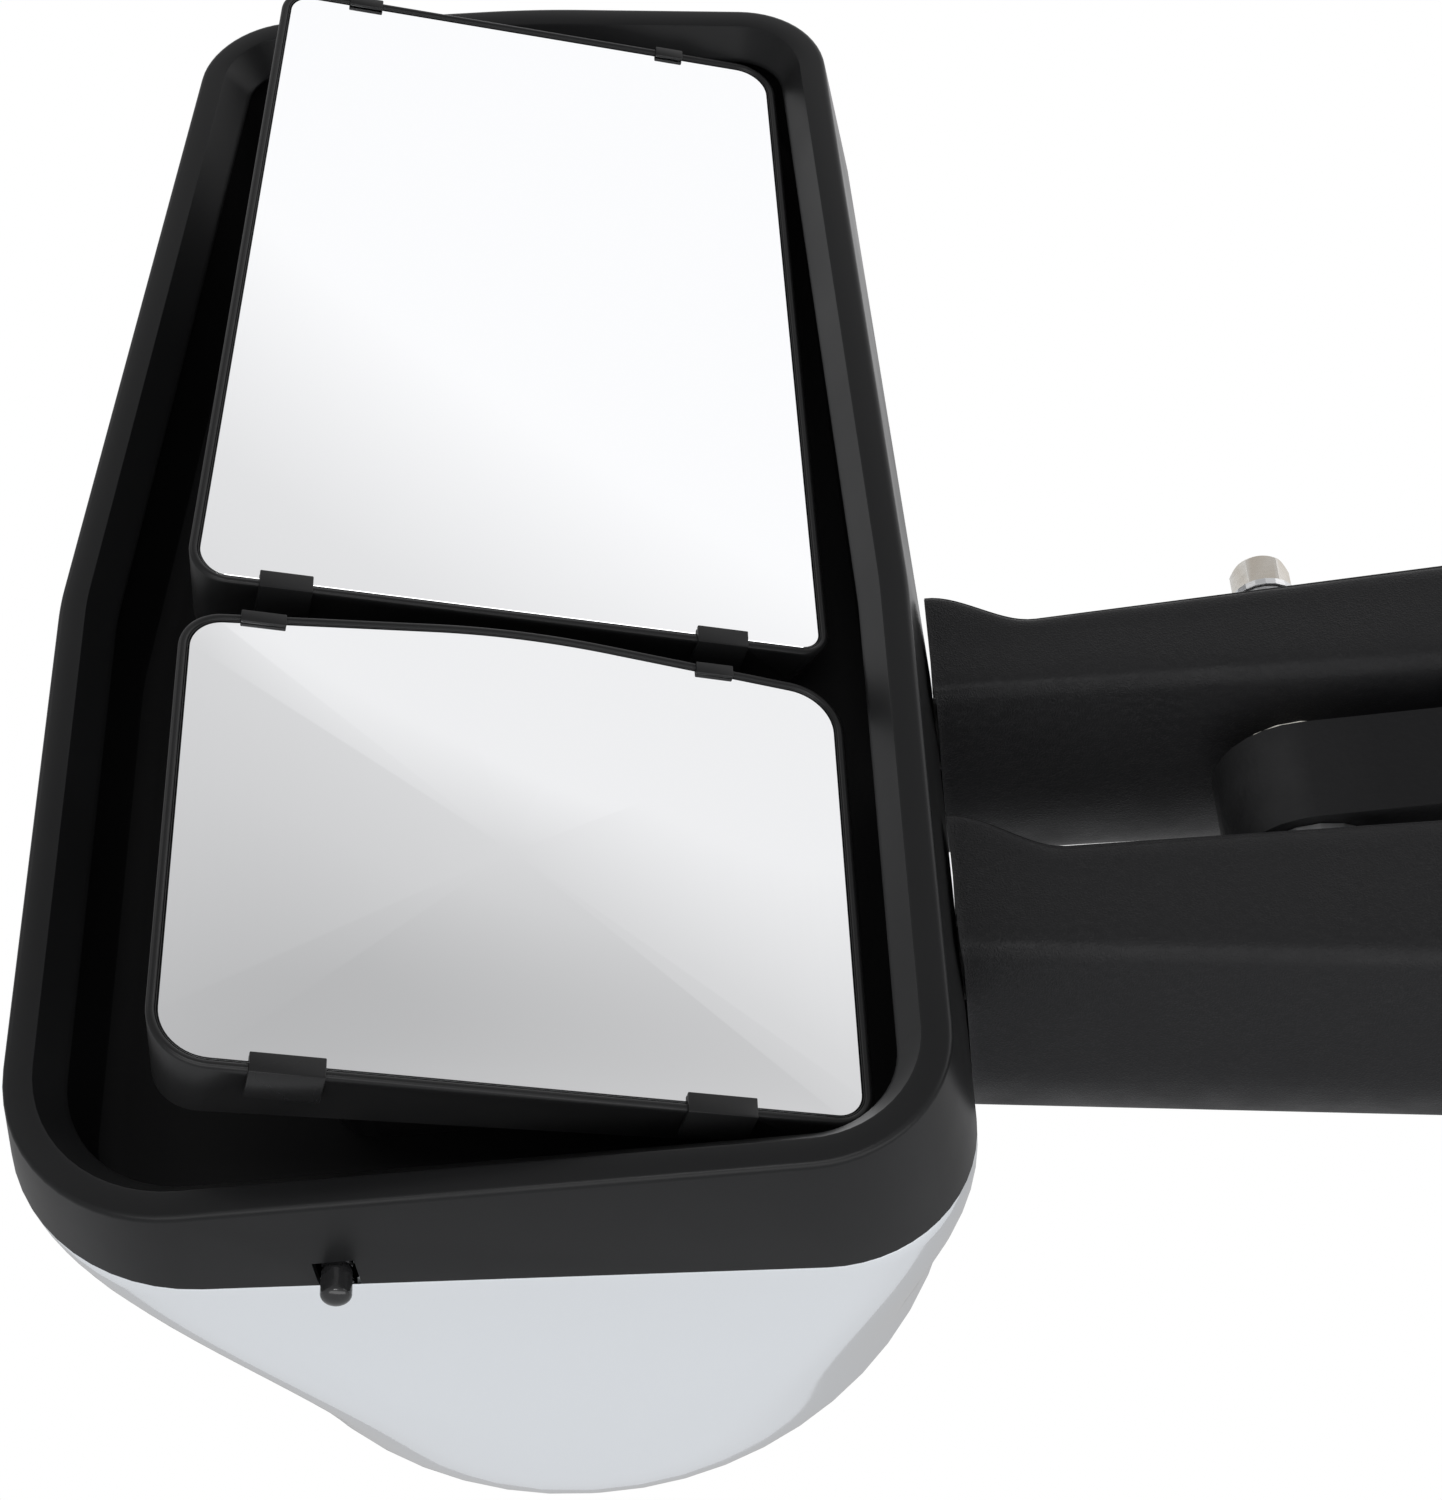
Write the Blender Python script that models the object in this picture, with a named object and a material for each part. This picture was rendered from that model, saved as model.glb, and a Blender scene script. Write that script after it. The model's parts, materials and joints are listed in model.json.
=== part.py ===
"""A door mirror for a heavy vehicle, driver's side: a tall head with two glasses on a folding double arm.

Metres, +Z up, +X towards the door, the glasses face -Y. The origin is the centre of the face that meets the door.
"""

from math import acos, cos, pi, radians, sin, tan

import bmesh
import bpy
from mathutils import Matrix, Vector

MM = 0.001
GAP = 0.3 * MM  # between pieces that touch

# --- door side, along X from the door ---
GASKET_THICK = 3 * MM
PLATE_THICK = 12 * MM
PLATE_WIDTH = 108 * MM
PLATE_HEIGHT = 216 * MM
PLATE_CORNER = 22 * MM
HEAD_RISE = 8 * MM  # the middle of the two beams above the middle of the door plate
SWING_ROOM = 106 * MM  # from the plate to the fold axis, clear of the arm's end as it swings
STUD_RADIUS = 4 * MM
STUD_LENGTH = 26 * MM
STUD_INSET = 16 * MM

# --- fold pivot ---
BOLT_RADIUS = 6 * MM
BORE_PLAY = 0.4 * MM
HEX_ACROSS = 19 * MM
HEX_HEIGHT = 14 * MM
WASHER_RADIUS = 12 * MM
WASHER_THICK = 2.5 * MM
SPRING_HEIGHT = 9 * MM
NUT_HEIGHT = 10 * MM
EYE_RADIUS = 18 * MM
EYE_HEAD_ROOM = 5.6 * MM  # beam crest to the top of the eye inside
UPPER_EYE_HEIGHT = 31 * MM
LOWER_EYE_HEIGHT = 24 * MM
SLEEVE_RADIUS = 9.5 * MM
KNUCKLE_RADIUS = 30 * MM
THRUST_THICK = 3 * MM

# --- double arm ---
HEAD_TO_PIVOT = 280 * MM  # head centre to fold axis
BEAM_END = 90 * MM  # how far the beams run past the fold axis
BEAM_END_CORNER = 24 * MM
BEAM_CREST = 18.5 * MM  # reference line to the rear crest
BEAM_DOME = 1 * MM  # how far the top rises above the crest
BEAM_DIP = 35 * MM  # reference line to the lowest point of the underside
BEAM_DEPTH = 98 * MM
BEAM_WALL = 3 * MM
BEAM_FLARE = 16 * MM  # rise of the crest where the beam meets the head
BEAM_FLARE_RUN = 38 * MM
BEAM_SPREAD = 0.048  # the steepest that a beam's top or underside runs where the pivot's plates meet it
# Height of the crest and of the rear face's low edge beside the head, each with its slope towards the door.
BEAM_LINES = {1: (-44 * MM, 0.048, -72 * MM, -0.033), -1: (-140.5 * MM, -0.025, -180 * MM, -0.124)}
BEAM_REAR_Y = 38 * MM  # rear face of the beams, behind the rim plane
UPPER_BEAM_Z = -65.5 * MM
LOWER_BEAM_Z = -159 * MM
HEAD_CLEARANCE = 1.2 * MM  # slit between the head's side wall and the beams
TUBE_RADIUS = 13 * MM
TUBE_WALL = 2.5 * MM
TUBE_Y = 72 * MM
UPPER_TUBE_Z = -65.5 * MM
LOWER_TUBE_Z = -163.5 * MM
TUBE_INNER_X = -42 * MM

# --- head ---
RIM_WIDTH = 300 * MM
RIM_LOW_Z = -278 * MM
RIM_TOP_Z = 283 * MM
RIM_TOP_RIGHT_Z = 252 * MM
RIM_TOP_LEFT_X = -113.5 * MM
RIM_TOP_RIGHT_X = 136 * MM
KNEE_LEFT_Z = -26 * MM
KNEE_RIGHT_Z = -52 * MM
RIM_FACE = 10 * MM  # width of the flat rim face
RIM_BEVEL = 8 * MM  # width of the bevel that leads inwards
RIM_BEVEL_DEPTH = 12 * MM
SHELL_WALL = 3 * MM
SIDE_FLARE = 0.12
SEAM_DEPTH = 45 * MM
SEAM_SLOPE = 0.1  # the side wall is deeper towards the door
COVER_DEPTH = 228 * MM
COVER_SQUARE_DEPTH = 102 * MM  # where the cover starts to close
COVER_CROWN = (43.6 * MM, -40 * MM)
COVER_BLEND = 0.39  # the share of the skin that turns from the seam outline to the full one
BOWL_FRONT_Y = 5 * MM  # just behind the rim flange, which it is clipped to
BOWL_BACK_Y = 52 * MM
BOWL_FRONT_INSET = 10 * MM
BOWL_BACK_INSET = 17 * MM
BOWL_WALL = 2.7 * MM
FRAME_THICK = 3.7 * MM
FRAME_HALF_WIDTH = 72 * MM
FRAME_HALF_HEIGHT = 190 * MM
CLAMP_LENGTH = 44 * MM
CLAMP_THICK = 3 * MM
SENSOR_X = -47 * MM
SENSOR_Y = 34 * MM
SENSOR_RADIUS = 5 * MM
SENSOR_TIP_Z = -293 * MM
NOTCH_PLAY = 1.6 * MM

# --- glasses and their drives ---
AIM = radians(10)  # the drives face the driver by this much
REST_PAN = radians(9.5)  # stored pose of both glasses, past the aim
UPPER_REST_TILT = radians(2)
LOWER_REST_TILT = 0.0
GLASS_PIVOT_X = 5 * MM
GLASS_PIVOT_Y = 11 * MM
UPPER_PIVOT_Z = 85 * MM
LOWER_PIVOT_Z = -167 * MM
GLASS_STAND = 30 * MM  # pivot to the glass face
GLASS_THICK = 2.3 * MM
HEATER_THICK = 0.8 * MM
HOLDER_LIP = 3.2 * MM
HOLDER_PLATE = 2.5 * MM
SKIRT_DEPTH = 28 * MM  # at the middle of the glass
SKIRT_SLANT = 0.06  # the skirt is shallower towards the door
SKIRT_TAPER = 5 * MM
SKIRT_WALL = 2.2 * MM
LOWER_GLASS_CROWN = 3 * MM
PIN_RADIUS = 3 * MM
PIN_HALF = 16.5 * MM
EAR_INNER = 11 * MM
EAR_OUTER = 16 * MM
EAR_HALF = 6 * MM
EAR_REACH = 6 * MM
LEVER = 42 * MM  # pivot to each plunger
PLUNGER_RADIUS = 3.4 * MM
PLUNGER_BALL = 4.2 * MM
PLUNGER_LENGTH = 25 * MM
CUP_BORE = 6 * MM
CUP_WALL = 1.6 * MM
CUP_DEPTH = 5 * MM
BASE_HALF = 58 * MM
BASE_FRONT = 14 * MM
BASE_WALL = 2.6 * MM
GEAR_RADIUS = 12 * MM
GEAR_THICK = 4.5 * MM
GEAR_TEETH = 16
MOTOR_RADIUS = 7 * MM
MOTOR_LENGTH = 30 * MM

PIVOT_X = -(GASKET_THICK + GAP + PLATE_THICK + SWING_ROOM)
HEAD_X = PIVOT_X - HEAD_TO_PIVOT
HEAD_Z = HEAD_RISE - (UPPER_BEAM_Z + LOWER_BEAM_Z) / 2
HEAD = Vector((HEAD_X, -TUBE_Y, HEAD_Z))  # head centre, on the rim plane
ROUND_STEPS = 20


# ---------------------------------------------------------------- helpers

def clear_scene():
    for obj in list(bpy.data.objects):
        bpy.data.objects.remove(obj, do_unlink=True)


def material(name, colour, roughness, metallic=0.0):
    made = bpy.data.materials.new(name)
    made.use_nodes = True
    shader = made.node_tree.nodes["Principled BSDF"]
    shader.inputs["Base Color"].default_value = (*colour, 1.0)
    shader.inputs["Roughness"].default_value = roughness
    shader.inputs["Metallic"].default_value = metallic
    made.diffuse_color = (*colour, 1.0)
    return made


def from_head(x, y, z):
    """A point given from the head's centre, in the part's frame."""
    return HEAD + Vector((x, y, z))


def add_object(name, mesh_data, look, axis=None):
    """A node from (points, faces) in the part's frame. Its origin goes to its body's joint axis."""
    points, faces = mesh_data
    origin = axis.location if axis else Vector((0, 0, 0))
    mesh = bpy.data.meshes.new(name)
    mesh.from_pydata([Vector(p) - origin for p in points], [], faces)
    work = bmesh.new()
    work.from_mesh(mesh)
    bmesh.ops.recalc_face_normals(work, faces=work.faces)
    work.to_mesh(mesh)
    work.free()
    mesh.materials.append(look)
    mesh.shade_smooth()
    mesh.set_sharp_from_angle(angle=radians(35))
    obj = bpy.data.objects.new(name, mesh)
    bpy.context.scene.collection.objects.link(obj)
    if axis:
        obj.parent = axis
    return obj


def add_axis(name, place):
    """An empty on a joint's axis, which carries the pieces that turn with it."""
    axis = bpy.data.objects.new(name, None)
    axis.location = place
    bpy.context.scene.collection.objects.link(axis)
    return axis


def boolean(obj, other, operation):
    """Joins `other` to `obj`, or cuts it away, and leaves one plain mesh."""
    step = obj.modifiers.new(operation.lower(), "BOOLEAN")
    step.operation = operation
    step.object = other
    step.solver = "EXACT"
    bpy.context.view_layer.update()
    graph = bpy.context.evaluated_depsgraph_get()
    mesh = bpy.data.meshes.new_from_object(obj.evaluated_get(graph))
    obj.modifiers.clear()
    old = obj.data
    obj.data = mesh
    bpy.data.meshes.remove(old)
    bpy.data.objects.remove(other, do_unlink=True)
    obj.data.shade_smooth()
    obj.data.set_sharp_from_angle(angle=radians(35))


def cut(obj, mesh_data, look):
    boolean(obj, add_object("cutter", mesh_data, look), "DIFFERENCE")


def join(obj, mesh_data, look):
    boolean(obj, add_object("addition", mesh_data, look), "UNION")


def loft(loops, ring=False):
    """Skins loops of equal length. A ring's last loop meets its first, otherwise both ends are capped."""
    count = len(loops[0])
    points = [p for loop in loops for p in loop]
    faces = []
    rows = len(loops) if ring else len(loops) - 1
    for row in range(rows):
        here = row * count
        there = (row + 1) % len(loops) * count
        for i in range(count):
            j = (i + 1) % count
            faces.append((here + i, here + j, there + j, there + i))
    if not ring:
        faces.append(tuple(range(count)))
        faces.append(tuple(range((len(loops) - 1) * count, len(loops) * count)))
    return points, faces


def moved(mesh_data, matrix):
    points, faces = mesh_data
    return [matrix @ Vector(p) for p in points], faces


def box(low, high):
    (ax, ay, az), (bx, by, bz) = low, high
    bottom = [(ax, ay, az), (bx, ay, az), (bx, by, az), (ax, by, az)]
    return loft([bottom, [(x, y, bz) for x, y, _ in bottom]])


def turned(profile, steps=ROUND_STEPS, ring=False):
    """Turns (radius, height) points about Z. Without ring, the ends at radius 0 are left off and capped flat."""
    loops = []
    for radius, height in profile:
        loops.append([(radius * cos(2 * pi * i / steps), radius * sin(2 * pi * i / steps), height)
                      for i in range(steps)])
    return loft(loops, ring)


def rod(radius, low, high, steps=ROUND_STEPS):
    return turned([(radius, low), (radius, high)], steps)


def tube(outer, inner, low, high, steps=ROUND_STEPS):
    return turned([(inner, low), (outer, low), (outer, high), (inner, high)], steps, ring=True)


def along(axis, place):
    """A matrix that lays +Z along the axis and moves the origin to the place."""
    return Matrix.Translation(place) @ Vector(axis).to_track_quat("Z", "Y").to_matrix().to_4x4()


def rounded(corners, grow=0.0, steps=4):
    """A convex outline of (x, z, radius) corners, counterclockwise, moved outwards by `grow`, its corners as arcs."""
    count = len(corners)
    flat = [Vector((x, z)) for x, z, _ in corners]
    edges = [(flat[(i + 1) % count] - flat[i]).normalized() for i in range(count)]
    outline = []
    for i, (_, _, radius) in enumerate(corners):
        before, after = edges[i - 1], edges[i]
        turn = acos(max(-1.0, min(1.0, before.dot(after))))
        shift = grow * tan(turn / 2)
        normal = Vector((before.y, -before.x))
        corner = flat[i] + normal * grow + before * shift
        arc = max(radius + grow, 0.5 * MM)
        start = corner - before * arc * tan(turn / 2)
        centre = start - normal * arc
        for k in range(steps + 1):
            angle = turn * k / steps
            spoke = normal * cos(angle) + before * sin(angle)
            outline.append(centre + spoke * arc)
    return outline


# ---------------------------------------------------------------- outlines

def rim_corners():
    half = RIM_WIDTH / 2
    return [
        (-half, RIM_LOW_Z, 60 * MM),
        (half, RIM_LOW_Z, 46 * MM),
        (half, KNEE_RIGHT_Z, 300 * MM),
        (RIM_TOP_RIGHT_X, RIM_TOP_RIGHT_Z, 40 * MM),
        (20 * MM, RIM_TOP_Z - 10 * MM, 400 * MM),
        (RIM_TOP_LEFT_X, RIM_TOP_Z, 34 * MM),
        (-half, KNEE_LEFT_Z, 120 * MM),
    ]


def bulge_corners():
    """The cover's outline where it is fullest: rounder than the rim, and cut away outboard."""
    half = RIM_WIDTH / 2
    return [
        (-half + 34.4 * MM, RIM_LOW_Z - 32.4 * MM, 131 * MM),
        (half - 1.2 * MM, RIM_LOW_Z - 32.4 * MM, 131.5 * MM),
        (half, KNEE_RIGHT_Z, 300 * MM),
        (RIM_TOP_RIGHT_X - 6 * MM, RIM_TOP_RIGHT_Z - 8 * MM, 74 * MM),
        (20 * MM, RIM_TOP_Z - 18 * MM, 400 * MM),
        (RIM_TOP_LEFT_X + 16 * MM, RIM_TOP_Z - 10 * MM, 74 * MM),
        (-half + 32.4 * MM, KNEE_LEFT_Z, 150 * MM),
    ]


def seam_y(x):
    return SEAM_DEPTH + SEAM_SLOPE * x


def rim_loop(grow, depth):
    """A loop of the bezel: `depth` may be a number, or a function of x."""
    loop = []
    for x, z in rounded(rim_corners(), grow):
        y = depth(x) if callable(depth) else depth
        loop.append(from_head(x, y, z))
    return loop


def cover_loops(inset):
    """Loops of the cover from its seam to its crown, each `inset` inside the outer face."""
    seam = rounded(rim_corners(), SIDE_FLARE * SEAM_DEPTH - inset)
    full = rounded(bulge_corners(), -inset)
    crown_x, crown_z = COVER_CROWN
    loops = []
    rows = 12
    for row in range(rows):
        share = row / (rows - 1)
        deep = sin(share * pi / 2)
        blend = min(1.0, share / COVER_BLEND)
        ease = blend * blend * (3 - 2 * blend)
        crown_y = (COVER_DEPTH - inset) * deep
        close = max(0.0, (crown_y - COVER_SQUARE_DEPTH) / (COVER_DEPTH - inset - COVER_SQUARE_DEPTH))
        scale = (1 - close ** 2.95) ** (1 / 2.2) if close < 1 else 0.0
        scale = max(scale, 0.16)
        loop = []
        for (sx, sz), (fx, fz) in zip(seam, full):
            x = sx + (fx - sx) * ease
            z = sz + (fz - sz) * ease
            start = seam_y(x) + GAP
            y = start + crown_y * (1 - start / COVER_DEPTH)
            loop.append(from_head(crown_x + (x - crown_x) * scale, y, crown_z + (z - crown_z) * scale))
        loops.append(loop)
    return loops


def beam_heights(x, side):
    """Heights of a beam's crest, rear low edge and belly at x, from the head centre. The upper beam's side is +1."""
    crest, crest_slope, low, low_slope = BEAM_LINES[side]
    run = x - (RIM_WIDTH / 2 + 10 * MM)
    return crest + crest_slope * run, low + low_slope * run, low + low_slope * run - (BEAM_DIP - BEAM_CREST)


def beam_section(x, side, inset, squeeze=1.0, lift=0.0):
    """A closed section of a beam in the YZ plane: flat rear face, domed top, deep belly, round nose."""
    crest_z, low_z, _ = beam_heights(x, side)
    stretch = (crest_z - low_z) / (2 * BEAM_CREST)
    rear = BEAM_REAR_Y
    nose = BEAM_REAR_Y + BEAM_DEPTH
    middle = (rear + nose) / 2
    crest = BEAM_CREST + lift
    shape = [
        (rear + inset, -BEAM_CREST + 5 * MM),
        (rear + inset, crest - 5 * MM),
        (rear + 1.5 * MM + inset, crest - 1.5 * MM - inset * 0.4),
        (rear + 6 * MM + inset * 0.4, crest - inset),
        (rear + 40 * MM, crest + BEAM_DOME - inset),
        (rear + 70 * MM, crest - 3 * MM - inset),
        (nose - 12 * MM - inset * 0.4, 6 * MM - inset * 0.6),
        (nose - 3 * MM - inset, -4 * MM),
        (nose - inset, -12 * MM),
        (nose - 4 * MM - inset * 0.8, -22 * MM + inset * 0.5),
        (nose - 18 * MM, -BEAM_DIP + 4 * MM + inset),
        (nose - 40 * MM, -BEAM_DIP + inset),
        (rear + 32 * MM, -BEAM_DIP + 6 * MM + inset),
        (rear + 11 * MM + inset * 0.3, -BEAM_CREST - 4 * MM + inset),
        (rear + 3 * MM + inset * 0.8, -BEAM_CREST - 0.5 * MM + inset * 0.7),
    ]


    def height(z):
        if z > BEAM_CREST:
            place = crest_z + z - BEAM_CREST
        elif z > -BEAM_CREST:
            place = crest_z + (z - BEAM_CREST) * stretch
        else:
            place = low_z + z + BEAM_CREST
        centre = (crest_z + low_z) / 2
        return centre + (place - centre) * (0.5 + squeeze / 2)

    return [from_head(x, middle + (y - middle) * squeeze, height(z)) for y, z in shape]


# ---------------------------------------------------------------- head shells

def make_bezel(looks, axis):
    side = SIDE_FLARE * SEAM_DEPTH
    wall = SHELL_WALL
    bevel_end = -(RIM_FACE + RIM_BEVEL)
    loops = [
        rim_loop(-1.2 * MM, 0),
        rim_loop(0, 1.2 * MM),
        rim_loop(side, seam_y),
        rim_loop(side - wall, seam_y),
        rim_loop(-wall, wall + 1 * MM),
        rim_loop(-RIM_FACE + 1 * MM, wall),
        rim_loop(bevel_end + 2 * MM, RIM_BEVEL_DEPTH + 1.5 * MM),
        rim_loop(bevel_end, RIM_BEVEL_DEPTH),
        rim_loop(-RIM_FACE, 0),
    ]
    bezel = add_object("bezel", loft(loops, ring=True), looks["black_plastic"], axis)
    notch = SENSOR_RADIUS + NOTCH_PLAY
    low = from_head(SENSOR_X - notch, SENSOR_Y - notch, RIM_LOW_Z - 20 * MM)
    high = from_head(SENSOR_X + notch, seam_y(SENSOR_X) + 5 * MM, RIM_LOW_Z + 12 * MM)
    cut(bezel, box(low, high), looks["black_plastic"])
    cut_tube_holes(bezel, looks["black_plastic"])


def cut_tube_holes(shell, look):
    """Clearance for the two arm tubes through the head's side wall."""
    for height in (UPPER_TUBE_Z, LOWER_TUBE_Z):
        place = from_head(100 * MM, TUBE_Y, height)
        cut(shell, moved(rod(TUBE_RADIUS + 2 * MM, 0, 90 * MM), along((1, 0, 0), place)), look)


def make_rear_cover(looks, axis):
    outer = cover_loops(0)
    inner = cover_loops(SHELL_WALL)
    count = len(outer[0])
    points, faces = loft(outer + inner[::-1], ring=False)
    first_cap, last_cap = faces[-2:]
    faces = faces[:-2]
    rows = len(outer)
    crown = (rows - 1) * count
    faces = [f for f in faces if not (crown <= f[0] < crown + count and f[2] >= crown + count)]
    faces.append(tuple(range(crown, crown + count)))
    faces.append(tuple(range(crown + count, crown + 2 * count)))
    for i in range(count):
        j = (i + 1) % count
        faces.append((first_cap[i], first_cap[j], last_cap[j], last_cap[i]))
    cover = add_object("rear_cover", (points, faces), looks["chrome"], axis)
    cut_tube_holes(cover, looks["chrome"])
    notch = SENSOR_RADIUS + NOTCH_PLAY
    low = from_head(SENSOR_X - notch, SENSOR_Y - notch, RIM_LOW_Z - 20 * MM)
    high = from_head(SENSOR_X + notch, SENSOR_Y + notch, RIM_LOW_Z + 12 * MM)
    cut(cover, box(low, high), looks["chrome"])


def make_inner_housing(looks, axis):
    loops = [
        rim_loop(-26 * MM, BOWL_BACK_Y),
        rim_loop(-BOWL_BACK_INSET, BOWL_BACK_Y - 4 * MM),
        rim_loop(-BOWL_FRONT_INSET, BOWL_FRONT_Y),
        rim_loop(-BOWL_FRONT_INSET + BOWL_WALL, BOWL_FRONT_Y),
        rim_loop(-BOWL_BACK_INSET + BOWL_WALL, BOWL_BACK_Y - 2 * MM),
        rim_loop(-24 * MM, BOWL_BACK_Y + BOWL_WALL),
    ]
    add_object("inner_housing", loft(loops), looks["black_plastic"], axis)


def make_head_frame(looks, axis):
    front = BOWL_BACK_Y + BOWL_WALL + GAP
    middle = (UPPER_BEAM_Z + LOWER_BEAM_Z) / 2
    corners = [
        (-FRAME_HALF_WIDTH, middle - FRAME_HALF_HEIGHT + 60 * MM, 20 * MM),
        (FRAME_HALF_WIDTH, middle - FRAME_HALF_HEIGHT + 60 * MM, 20 * MM),
        (FRAME_HALF_WIDTH, middle + FRAME_HALF_HEIGHT, 20 * MM),
        (-FRAME_HALF_WIDTH, middle + FRAME_HALF_HEIGHT, 20 * MM),
    ]
    outline = rounded(corners, steps=4)
    loops = [[from_head(x, y, z) for x, z in outline] for y in (front, front + FRAME_THICK)]
    frame = add_object("head_frame", loft(loops), looks["steel"], axis)
    for z in (middle + FRAME_HALF_HEIGHT - 60 * MM, middle):
        place = from_head(0, front - 1 * MM, z)
        cut(frame, moved(rod(16 * MM, 0, FRAME_THICK + 2 * MM, 16), along((0, 1, 0), place)), looks["steel"])
    for label, height in (("upper", UPPER_TUBE_Z), ("lower", LOWER_TUBE_Z)):
        make_tube_clamp(label, height, front + FRAME_THICK, looks, axis)
    for label, x, z in (("a", -1, 1), ("b", 1, 1)):
        place = from_head(x * 52 * MM, front + FRAME_THICK + GAP, middle + FRAME_HALF_HEIGHT - 20 * MM)
        add_object(f"housing_screw_{label}", screw_head(place, (0, 1, 0)), looks["zinc"], axis)


def screw_head(place, axis):
    """A pan-headed screw's head, seated on its face."""
    profile = [(5 * MM, 0), (5 * MM, 1.6 * MM), (3.6 * MM, 3.2 * MM), (1.4 * MM, 3.4 * MM)]
    return moved(turned(profile, 14), along(axis, place))


def make_tube_clamp(label, base, seat, looks, axis):
    """A saddle over the tube, and its two screws."""
    reach = TUBE_RADIUS + GAP
    top = TUBE_Y
    arc = [radians(180 * i / 8) for i in range(9)]
    foot = seat + GAP
    wide = TUBE_RADIUS + 16 * MM
    inner = [(foot, reach)] + [(top + reach * sin(a), reach * cos(a)) for a in arc] + [(foot, -reach)]
    outer_reach = reach + CLAMP_THICK
    outer = [(foot + CLAMP_THICK, -outer_reach)]
    outer += [(top + outer_reach * sin(a), outer_reach * cos(a)) for a in arc[::-1]]
    outer += [(foot + CLAMP_THICK, outer_reach)]
    section = inner + [(foot, -wide), (foot + CLAMP_THICK, -wide)] + outer
    section += [(foot + CLAMP_THICK, wide), (foot, wide)]
    loops = []
    for x in (-CLAMP_LENGTH / 2, CLAMP_LENGTH / 2):
        loops.append([from_head(x, y, base + z) for y, z in section])
    add_object(f"{label}_tube_clamp", loft(loops), looks["steel"], axis)
    for name, side in (("a", -1), ("b", 1)):
        place = from_head(0, foot + CLAMP_THICK + GAP, base + side * (TUBE_RADIUS + 10 * MM))
        add_object(f"{label}_clamp_screw_{name}", screw_head(place, (0, 1, 0)), looks["zinc"], axis)


def make_sensor(looks, axis):
    base = SENSOR_TIP_Z
    deep = (SENSOR_Y + SENSOR_RADIUS - BOWL_FRONT_Y) / (BOWL_BACK_Y - 2 * MM - BOWL_FRONT_Y)
    inset = BOWL_FRONT_INSET + (BOWL_BACK_INSET - BOWL_FRONT_INSET) * deep - BOWL_WALL
    bowl_slope = (BOWL_BACK_INSET - BOWL_FRONT_INSET) / (BOWL_BACK_Y - 2 * MM - BOWL_FRONT_Y)
    top = RIM_LOW_Z + inset - 2 * SENSOR_RADIUS * bowl_slope - GAP
    profile = [(1.5 * MM, base), (3.6 * MM, base + 0.6 * MM), (4.7 * MM, base + 2.2 * MM),
               (SENSOR_RADIUS, base + 4.5 * MM), (SENSOR_RADIUS, top)]
    place = Matrix.Translation(from_head(SENSOR_X, SENSOR_Y, 0))
    add_object("temperature_sensor", moved(turned(profile, 20), place), looks["black_plastic"], axis)
    clip_z = RIM_LOW_Z + 1.5 * MM
    ring = tube(SENSOR_RADIUS + 2.2 * MM, SENSOR_RADIUS + GAP, clip_z, clip_z + 5 * MM, 20)
    add_object("sensor_clip", moved(ring, place), looks["zinc"], axis)


# ---------------------------------------------------------------- arm and pivot

def pivot_point(z):
    """A point on the fold axis, its height given from the head centre."""
    return Vector((PIVOT_X, 0, HEAD_Z + z))


def stack_heights():
    """Heights along the fold axis, from the head centre, worked out from the beams down and up."""
    upper_crest, _, upper_belly = beam_heights(HEAD_TO_PIVOT, 1)
    lower_crest = beam_heights(HEAD_TO_PIVOT, -1)[0]
    tilt = BEAM_SPREAD * KNUCKLE_RADIUS  # how much a beam rises or falls under the round plates
    bush = upper_crest + BEAM_DOME + tilt + GAP
    spring = bush + 6 * MM + GAP
    washer = spring + SPRING_HEIGHT + GAP
    hexagon = washer + WASHER_THICK + GAP
    thrust_top = upper_belly - tilt - GAP
    detent_low = lower_crest + BEAM_DOME + tilt + GAP
    return {
        "lower_middle": lower_crest - BEAM_CREST,
        "bush": bush,
        "spring": spring,
        "washer": washer,
        "hexagon": hexagon,
        "thrust_top": thrust_top,
        "knuckle_top": thrust_top - THRUST_THICK - GAP,
        "knuckle_low": detent_low + THRUST_THICK + GAP,
        "detent_low": detent_low,
        "upper_eye_top": upper_crest - EYE_HEAD_ROOM,
        "lower_eye_top": lower_crest - EYE_HEAD_ROOM,
    }


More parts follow.
